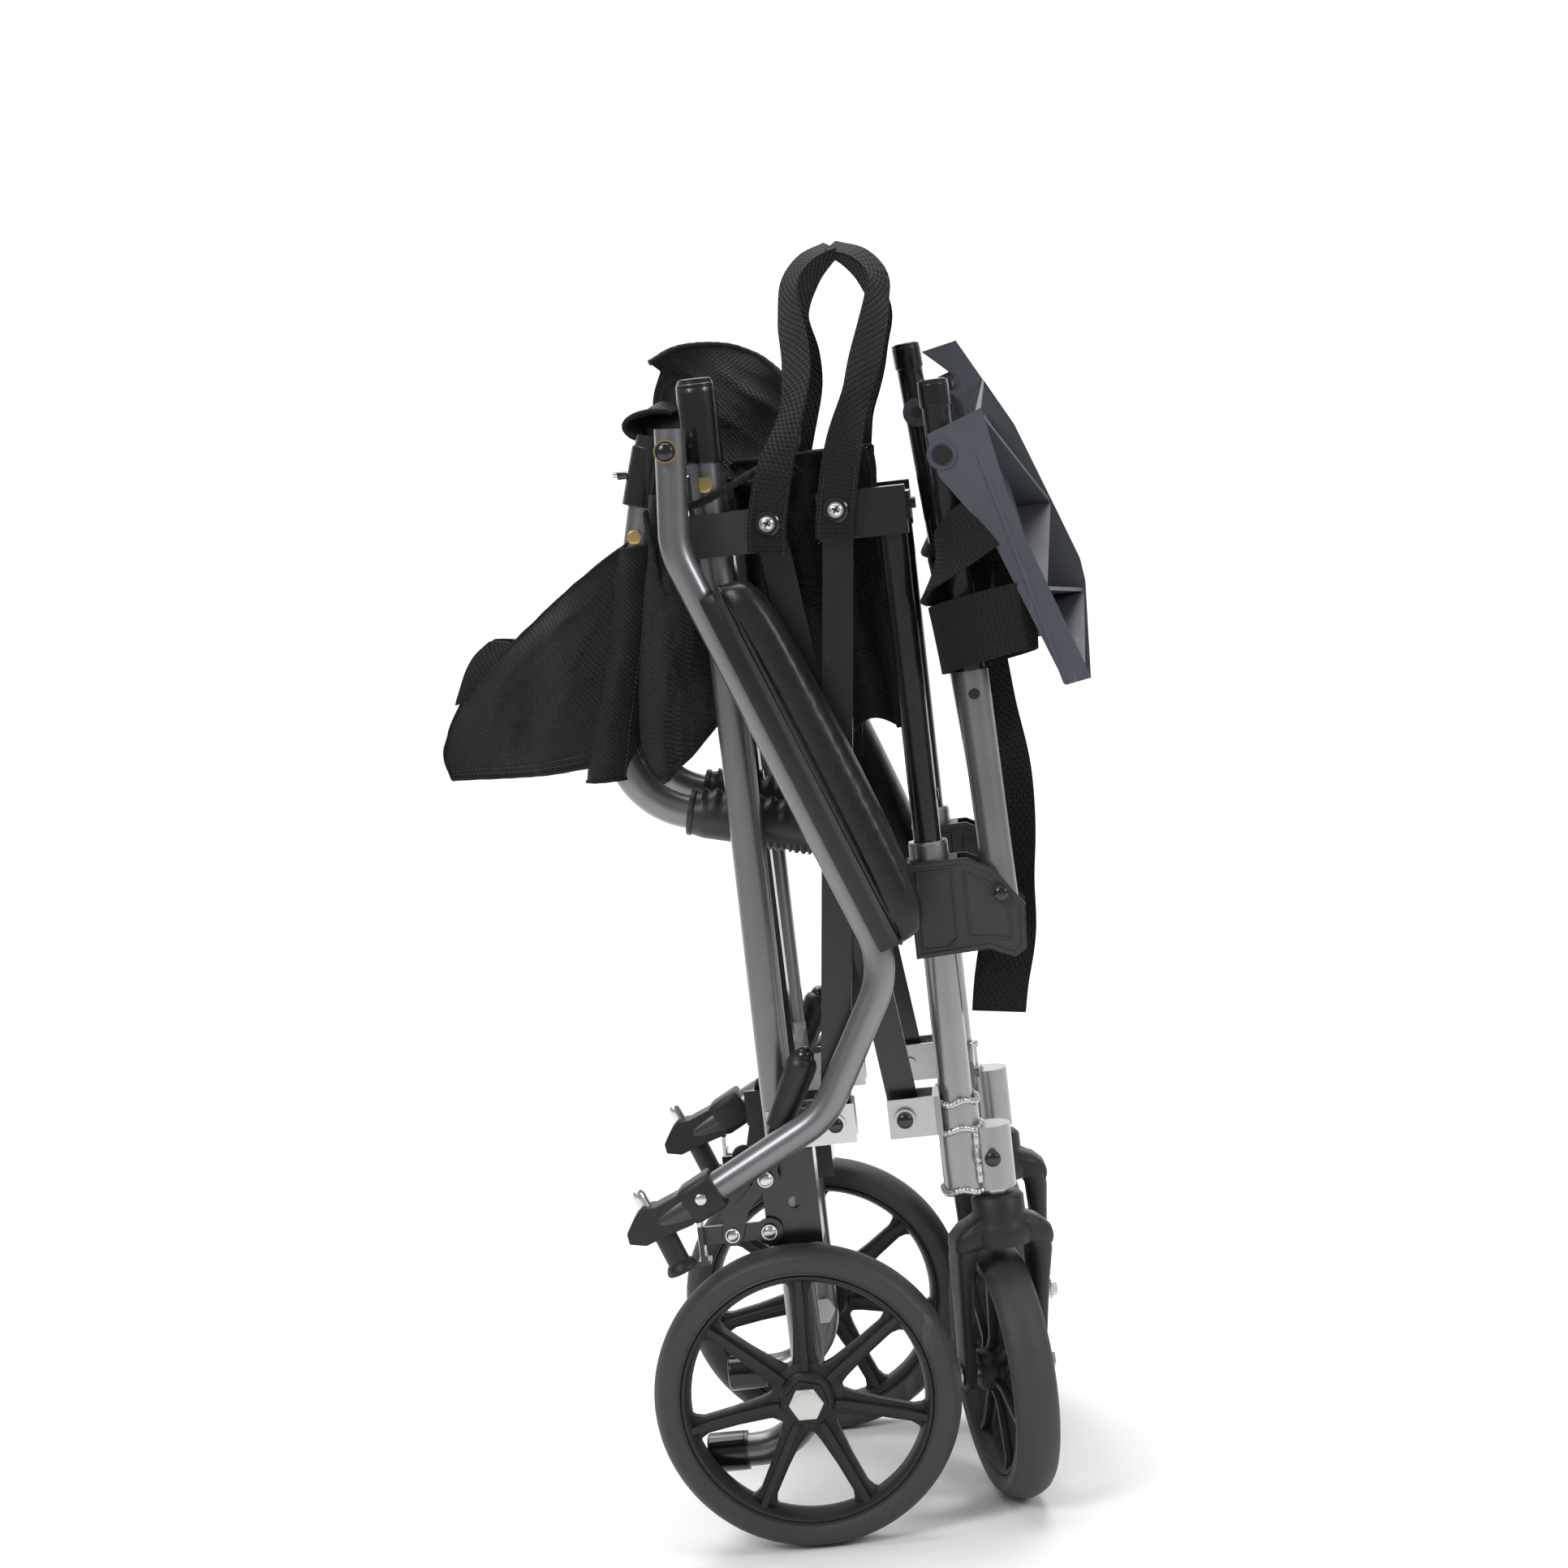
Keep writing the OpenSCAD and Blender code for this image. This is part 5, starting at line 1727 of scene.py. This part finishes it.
@dataclass
class Upholstery:
    """Seat, back, sleeves, pocket and flap in ballistic nylon with bound hems."""

    cells: int = 34

    def build(self) -> None:
        """Builds every fabric piece."""
        for side in Side:
            self._back(side)
            self._sleeve(side)
            self._seat(side)
            self._pocket(side)
        self._flap()

    def _cloth(self, name: str, rows: list[list[Vector]], side: Side) -> bpy.types.Object:
        """A sheet from rows of points.

        Args:
            name: The piece's name.
            rows: Its points in mm.
            side: The side.

        Returns:
            The piece, not yet riding on anything.
        """
        drawing = Drawing().grid(rows)
        piece = drawing.make(name, NYLON, side, thick=CLOTH_THICK, rounds=1, closed=False)
        row = rows[len(rows) // 2]
        wide = sum((b - a).length for a, b in zip(row, row[1:])) * MM
        round(drawing.area() / wide, 3)
        return piece

    def _hem(self, name: str, path: Sequence[Vector], side: Side,
             radius: float = 1.9) -> bpy.types.Object:
        """A rope-like bound hem along a path.

        Args:
            name: The piece's name.
            path: Its centre line in mm.
            side: The side.
            radius: Its radius in mm.

        Returns:
            The piece, not yet riding on anything.
        """
        twist = [p + Vector((math.sin(i * 0.9), math.cos(i * 0.9), 0)) * 0.25
                 for i, p in enumerate(path)]
        drawing = Drawing().tube(twist, lambda s: radius * (1 + 0.07 * math.sin(s * 160)), 12)
        return drawing.make(name, BINDING, side)

    def _back(self, side: Side) -> None:
        """Half of the back, from the handle's sleeve to the seam in the middle.

        Args:
            side: The side.
        """
        tag = side.tag
        top = [(-54, -70, 669), (-90, -60, 648), (-128, -34, 622), (-163, -14, 596)]
        low = [(-91, -72, 525), (-125, -56, 521), (-156, -30, 519), (-203, -6, 519)]
        start = [top[0], (-67, -72, 615), (-80, -73, 565), low[0]]
        end = [top[-1], (-183, -8, 579), (-199, -5, 556), (-207, -4, 535), low[-1]]
        rows = patch(top, low, start, end, self.cells, self.cells)
        for i, row in enumerate(rows):
            for k, p in enumerate(row):
                u, v = k / (self.cells - 1), i / (self.cells - 1)
                pull = math.sin(math.pi * u) * math.sin(math.pi * v)
                p = p + Vector((0, -7 * pull + 3.0 * math.sin(u * 9 + v * 6) * pull, 0))
                p = crease(p, (-0.68, 0, -0.73), 4.2 * pull, 21, 2.0)
                row[k] = ripple(p, 2.4 * pull + 0.4, 34, 2.0)
        cloth = self._cloth(f"back_half_{tag}", rows, side)
        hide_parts(f"back_panel_{tag}")
        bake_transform(cloth)
        self._back_edges(side, rows)

    def _back_edges(self, side: Side, rows: list[list[Vector]]) -> None:
        """Hems, stitches and the corner tab of a back half.

        Args:
            side: The side.
            rows: The back's points.
        """
        tag = side.tag
        lines = {"top": rows[0], "low": rows[-1], "seam": [r[-1] for r in rows]}
        for name, line in lines.items():
            hem = self._hem(f"back_hem_{name}_{tag}", line, side, 1.5)
            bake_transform(hem)
        for k, depth in enumerate((2, 3)):
            row = [p + Vector((0, -0.9, 0)) for p in rows[-depth]]
            sewn = stitches(f"back_stitch_{tag}{k}", row, side)
            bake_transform(sewn)
        tab = patch([(-150, -14, 609), (-166, -9, 611)], [(-176, -12, 574), (-196, -7, 568)],
                    [(-150, -14, 609), (-160, -16, 596), (-176, -12, 574)],
                    [(-166, -9, 611), (-184, -8, 594), (-196, -7, 568)], 10, 12)
        tab = [[ripple(p + Vector((0, -2, 0)), 1.2, 15, 5.0) for p in r] for r in tab]
        cloth = self._cloth(f"back_tab_{tag}", tab, side)
        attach(cloth, f"back_panel_{tag}")

    def _sleeve(self, side: Side) -> None:
        """The fabric sleeve round the handle tube.

        Args:
            side: The side.
        """
        tag = side.tag
        a, b = Vector((-47.5 - 2.6, -CANE_Y, 664)), Vector((-88, -CANE_Y, 513.5))
        rows = []
        for i in range(46):
            s = i / 45
            p = a.lerp(b, s)
            ring = []
            for k in range(37):
                t = 2 * math.pi * k / 36
                out = 13.6 + 1.6 * s + 0.6 * math.sin(t * 2 + s * 9) + 0.4 * math.sin(s * 31 + t)
                out += 1.1 * max(0.0, math.sin(t - 2.4)) ** 3
                ring.append(p + Vector((math.cos(t), math.sin(t), 0)) * out)
            rows.append(ring)
        cloth = self._cloth(f"sleeve_{tag}", rows, side)
        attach(cloth, f"cane_{tag}")
        for name, row in (("top", rows[0]), ("low", rows[-1])):
            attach(self._hem(f"sleeve_hem_{name}_{tag}", row, side, 1.1), f"cane_{tag}")
        seam = [r[31] + Vector((0.2, -0.9, 0)) for r in rows]
        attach(stitches(f"sleeve_stitch_{tag}", seam, side), f"cane_{tag}")

    def _seat(self, side: Side) -> None:
        """Half of the seat, hanging in pleats from the side rail to the middle seam.

        Args:
            side: The side.
        """
        tag = side.tag
        columns, count = 61, 36
        rows = []
        for i in range(count):
            v = i / (count - 1)
            row = []
            for k in range(columns):
                u = k / (columns - 1)
                x = 17 + 87 * u
                y = -70 + 66 * v ** 0.85
                drop = 8 * math.sin(u * math.pi * 3 + 0.4) * v
                z = 712 - (203 - drop - 16 * u) * v
                fold = math.sin(u * math.pi * 7 + 1.2 * math.sin(v * 4)) * (3 + 7.5 * v ** 0.7)
                fold *= 1 - 0.72 * v ** 6
                p = Vector((x, min(-2.6, y - 3 + fold * 0.8), z))
                p = crease(p, (0.15, 0, -1), 3.0 * math.sin(math.pi * v), 15, 1.0)
                row.append(ripple(p, 1.4, 30, 1.0) if 0.02 < v < 0.97 else p)
            rows.append(row)
        cloth = self._cloth(f"seat_half_{tag}", rows, side)
        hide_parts(f"seat_{tag}_rear", f"seat_{tag}_front")
        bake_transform(cloth)
        for name, line in (("rim", rows[0]), ("front", [r[-1] for r in rows]),
                           ("rear", [r[0] for r in rows])):
            hem = self._hem(f"seat_hem_{name}_{tag}", line, side, 1.8)
            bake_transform(hem)

    def _pocket(self, side: Side) -> None:
        """The pocket on the back's rear face, sagging between the handle and the post.

        Args:
            side: The side.
        """
        tag = side.tag
        top = [(-47, -66, 668), (-36, -84, 664), (-22, -78, 668), (-14, -66, 676)]
        low = [(-68, -60, 540), (-55, -76, 511), (-44, -78, 517), (-28, -76, 529), (-12, -66, 545)]
        start = [top[0], (-54, -72, 620), (-63, -68, 575), low[0]]
        end = [top[-1], (-9, -72, 640), (-8, -76, 590), low[-1]]
        rows = patch(top, low, start, end, 26, 34)
        for i, row in enumerate(rows):
            for k, p in enumerate(row):
                u, v = k / 25, i / 33
                pull = math.sin(math.pi * u)
                gap = 9 * math.exp(-((u - 0.42) * 7) ** 2) * max(0.0, 1 - v * 2.4)
                p = p + Vector((0, -5 * pull * math.sin(math.pi * v) + gap, 0))
                p = crease(p, (-0.15, 0, -1), 4.5 * pull, 14, 4.0)
                row[k] = ripple(p, 2.2 * pull, 22, 4.0)
        cloth = self._cloth(f"pocket_{tag}", rows, side)
        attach(cloth, f"cane_{tag}")
        mouth = [(-44, -70, 690), (-40, -84, 655), (-36, -89, 632), (-27, -90, 622),
                 (-18, -86, 632), (-12, -78, 655)]
        for name, line in (("mouth", spread(mouth, 60)), ("low", rows[-1]),
                           ("side", [r[-1] for r in rows])):
            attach(self._hem(f"pocket_hem_{name}_{tag}", line, side, 2.0), f"cane_{tag}")

    def _flap(self) -> None:
        """The loose top of the back, bunched above the posts."""
        top = [(-32, -46, 783), (-12, -34, 791), (18, -26, 789), (42, -28, 777), (60, -44, 757)]
        low = [(-40, -44, 742), (-12, -66, 708), (18, -78, 700), (44, -76, 694), (60, -72, 704)]
        start = [top[0], (-24, -44, 770), low[0]]
        end = [top[-1], (64, -60, 735), low[-1]]
        rows = patch(top, low, start, end, 44, 34)
        for i, row in enumerate(rows):
            for k, p in enumerate(row):
                u, v = k / 43, i / 33
                pull = math.sin(math.pi * v)
                fold = 6.5 * math.sin(u * 7.5 + v * 3.0) * pull
                p = crease(p + Vector((0, fold + 6 * pull, 0)), (0.8, 0, -0.6), 5.0 * pull, 17, 7.0)
                row[k] = ripple(p, 3.0 * pull, 26, 7.0)
        cloth = self._cloth("flap_near", rows, Side.RIGHT)
        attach(cloth, "cane_r")
        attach(self._hem("flap_hem", rows[0], Side.RIGHT, 2.1), "cane_r")
        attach(self._hem("flap_hem_low", rows[-1], Side.RIGHT, 2.1), "cane_r")
        rope = spread([(-16, -105, 686), (2, -106.5, 691), (20, -105.5, 699), (38, -101, 707),
                       (52, -92, 708), (62, -80, 699)], 80)
        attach(self._hem("flap_rope", rope, Side.RIGHT, 2.4), "cane_r")
        curl = []
        for i in range(26):
            s = i / 25
            ring = []
            for k in range(25):
                t = math.radians(40 + 250 * k / 24)
                wide, tall = 21 - 5 * s, 9.5 + 3 * math.sin(s * 3)
                ring.append(Vector((-34 + 22 * s + math.cos(t) * wide * 0.9,
                                    -58 + 40 * s, 742 + 4 * s + math.sin(t) * tall)))
            curl.append([ripple(p, 2.0, 20, 9.0) for p in ring])
        cloth = self._cloth("flap_curl", curl, Side.RIGHT)
        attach(cloth, "cane_r")
        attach(self._hem("flap_curl_hem", curl[0], Side.RIGHT, 2.0), "cane_r")
        far = [(-30, 38, 786), (-6, 30, 792), (26, 34, 782), (52, 44, 758)]
        low = [(-38, 52, 730), (-8, 46, 706), (24, 46, 700), (54, 52, 704)]
        rows = patch(far, low, [far[0], (-40, 44, 760), low[0]], [far[-1], (60, 48, 730), low[-1]],
                     30, 26)
        rows = [[ripple(p, 5.0, 28, 11.0) for p in r] for r in rows]
        cloth = self._cloth("flap_far", rows, Side.RIGHT)
        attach(cloth, "cane_l")
        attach(self._hem("flap_far_hem", rows[0], Side.RIGHT, 2.1), "cane_l")


@dataclass
class CalfStrap:
    """The calf strap: a loop round each hanger, the run between them and a hanging tail."""

    wide: float = 45.0
    loops: tuple[tuple[Point, float, float, float, float, float], ...] = (
        ((170, -92, 588), 33, 23, 6, 0.10, 44), ((161, -96, 640), 22, 18, 18, -0.5, 36))

    def build(self) -> None:
        """Builds the loops, the run across and the tail."""
        for side in Side:
            tag = side.tag
            lift = 0.0 if side is Side.RIGHT else 24.0
            for k, ((cx, cy, cz), rx, ry, tilt, lean, wide) in enumerate(self.loops):
                path, across = [], []
                for i in range(73):
                    t = 2 * math.pi * i / 72 + 0.7
                    path.append(Vector((cx + math.cos(t) * rx, cy + math.sin(t) * ry,
                                        cz + lift + tilt * math.cos(t + 0.5))))
                    across.append(Vector((lean * math.cos(t), lean * 0.5 * math.sin(t), 1)))
                loop = Drawing().band(path, across, wide, WEB_THICK, 6)
                piece = loop.make(f"calf_loop_{tag}{k}", WEBBING, side, bevel=0.5)
                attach(piece, f"hanger_{tag}")
        path = spread([(176, -74, 590), (174, -52, 582), (168, -24, 566), (166, 0, 560),
                       (168, 24, 568), (174, 52, 588), (176, 74, 600)], 48)
        across = [Vector((0.15, 0, 1))] * 48
        run = Drawing().band(path, across, self.wide, WEB_THICK, 6)
        run = run.make("calf_run", WEBBING, bevel=0.5)
        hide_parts("calf_strap")
        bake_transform(run)
        path = spread([(163, -66, 566), (166, -64, 535), (171, -62, 495), (170, -62, 455),
                       (166, -62, 420), (163, -62, 385), (155, -62, 352), (151, -62, 331)], 60)
        across = [Vector((1, 0.25 * math.sin(i * 0.13), 0)) for i in range(60)]
        tail = Drawing().band(path, across, 37.0, WEB_THICK, 6)
        tail = tail.make("calf_tail", WEBBING, bevel=0.5)
        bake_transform(tail)


@dataclass
class Studio:
    """Pale floor, soft lights and the camera."""

    eye: Point = (172.3, -2182.8, 723.8)
    right: Point = (0.992, 0.0564, -0.1134)
    down: Point = (-0.1065, -0.1127, -0.9879)
    ahead: Point = (-0.0685, 0.992, -0.1058)
    lens: float = 74.1

    def build(self) -> None:
        """Builds the camera, the floor and the lights."""
        camera = put_in_scene("camera", bpy.data.cameras.new("camera"))
        camera.data.lens, camera.data.sensor_width = self.lens, 36.0
        camera.data.clip_end = 50.0
        ahead = Vector(self.ahead).normalized()
        down = Vector(self.down)
        down = (down - ahead * down.dot(ahead)).normalized()
        right = down.cross(ahead)
        turn = Matrix((right, -down, -ahead)).transposed().to_4x4()
        camera.matrix_world = Matrix.Translation(at(*self.eye)) @ turn
        bpy.context.scene.camera = camera
        floor = bpy.data.meshes.new("floor")
        line = [(-6.0, 0.0), (0.6, 0.0)]
        line += [(0.6 + 1.6 * math.sin(t), 1.6 - 1.6 * math.cos(t)) for t in
                 (math.pi / 2 * i / 24 for i in range(1, 25))] + [(2.2, 6.0)]
        corners = [(x, y, z) for y, z in line for x in (-7.0, 7.0)]
        floor.from_pydata(corners, [], [(2 * i, 2 * i + 1, 2 * i + 3, 2 * i + 2)
                                        for i in range(len(line) - 1)])
        floor.shade_smooth()
        floor.materials.append(self._one_sided(FLOOR.material()))
        put_in_scene("floor", floor)
        world = bpy.data.worlds.new("studio")
        bpy.context.scene.world = world
        world.use_nodes = True
        back = world.node_tree.nodes["Background"]
        back.inputs[0].default_value = (1.0, 1.0, 1.0, 1.0)
        back.inputs[1].default_value = 0.3
        for place, size, power in (((-1.5, -2.2, 2.4), 1.1, 50.0), ((2.2, -1.2, 1.6), 0.8, 24.0),
                                   ((0.0, 0.9, 3.2), 3.0, 125.0)):
            light = bpy.data.lights.new("softbox", "AREA")
            light.energy, light.size = power, size
            lamp = put_in_scene("softbox", light)
            lamp.matrix_world = Matrix.Translation(place) @ (
                Vector(place) - Vector((0, 0.3, 0.45))).to_track_quat("Z", "Y").to_matrix().to_4x4()
        scene = bpy.context.scene
        scene.view_settings.view_transform = "Standard"
        scene.view_settings.look = "None"

    @staticmethod
    def _one_sided(made: bpy.types.Material) -> bpy.types.Material:
        """Makes the backdrop clear from behind, so that the chair shows from every side.

        Args:
            made: The floor's material.

        Returns:
            The same material.
        """
        tree = made.node_tree
        behind = add_node(tree, "ShaderNodeNewGeometry").outputs["Backfacing"]
        clear = add_node(tree, "ShaderNodeBsdfTransparent").outputs[0]
        solid = tree.nodes["Principled BSDF"].outputs[0]
        both = add_node(tree, "ShaderNodeMixShader", {0: behind, 1: solid, 2: clear})
        tree.links.new(both.outputs[0], tree.nodes["Material Output"].inputs["Surface"])
        return made


def dress_nodes() -> None:
    """Gives every node that stays its finish and smooth shading."""
    finishes = {"rear_post": POST, "front_leg": LEG, "arm_frame": ARM, "cane": CANE,
                "hanger": HANGER, "post_hardware": ZINC, "rear_block": BLOCK,
                "footrest_bracket": BLOCK, "footplate": TRAY, "brake_lever": STEEL,
                "brake_housing": STEEL, "brake_shoe": STEEL, "arm_pin": RUBBER,
                "front_slide": STEEL}
    tree = shade_maker()
    angle = next(s.identifier for s in tree.interface.items_tree if s.name == "Angle")
    for name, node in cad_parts.items():
        base = name[:-2] if name[-2:] in ("_r", "_l") else name
        finish = finishes.get(base, STEEL)
        node.data.materials.clear()
        node.data.materials.append(finish.material())
        step = node.modifiers.new("shade", "NODES")
        step.node_group = tree
        step[angle] = SMOOTH_ANGLE


def main() -> None:
    """Builds the pieces round the frame, in order, and reports them."""
    logging.basicConfig(level=logging.INFO, format="%(message)s")
    GROUPS.update(fine_grain=grain_group(), scuffs=wear_group(), basket_weave=weave_group(),
                  zone=zone_group())
    MAKERS.update(screws=screw_maker(), spokes=spoke_maker(), stitches=stitch_maker())
    Studio().build()
    dress_nodes()
    RearWheels().build()
    for side in Side:
        for kind in (CasterSet, ArmRest, PushHandle, Post, FrontLeg, Footrest, CarryStrap):
            kind(side).build()
            LOG.info("%s, %s side", kind.__name__, side.tag)
    Upholstery().build()
    CalfStrap().build()


if __name__ == "__main__":
    main()
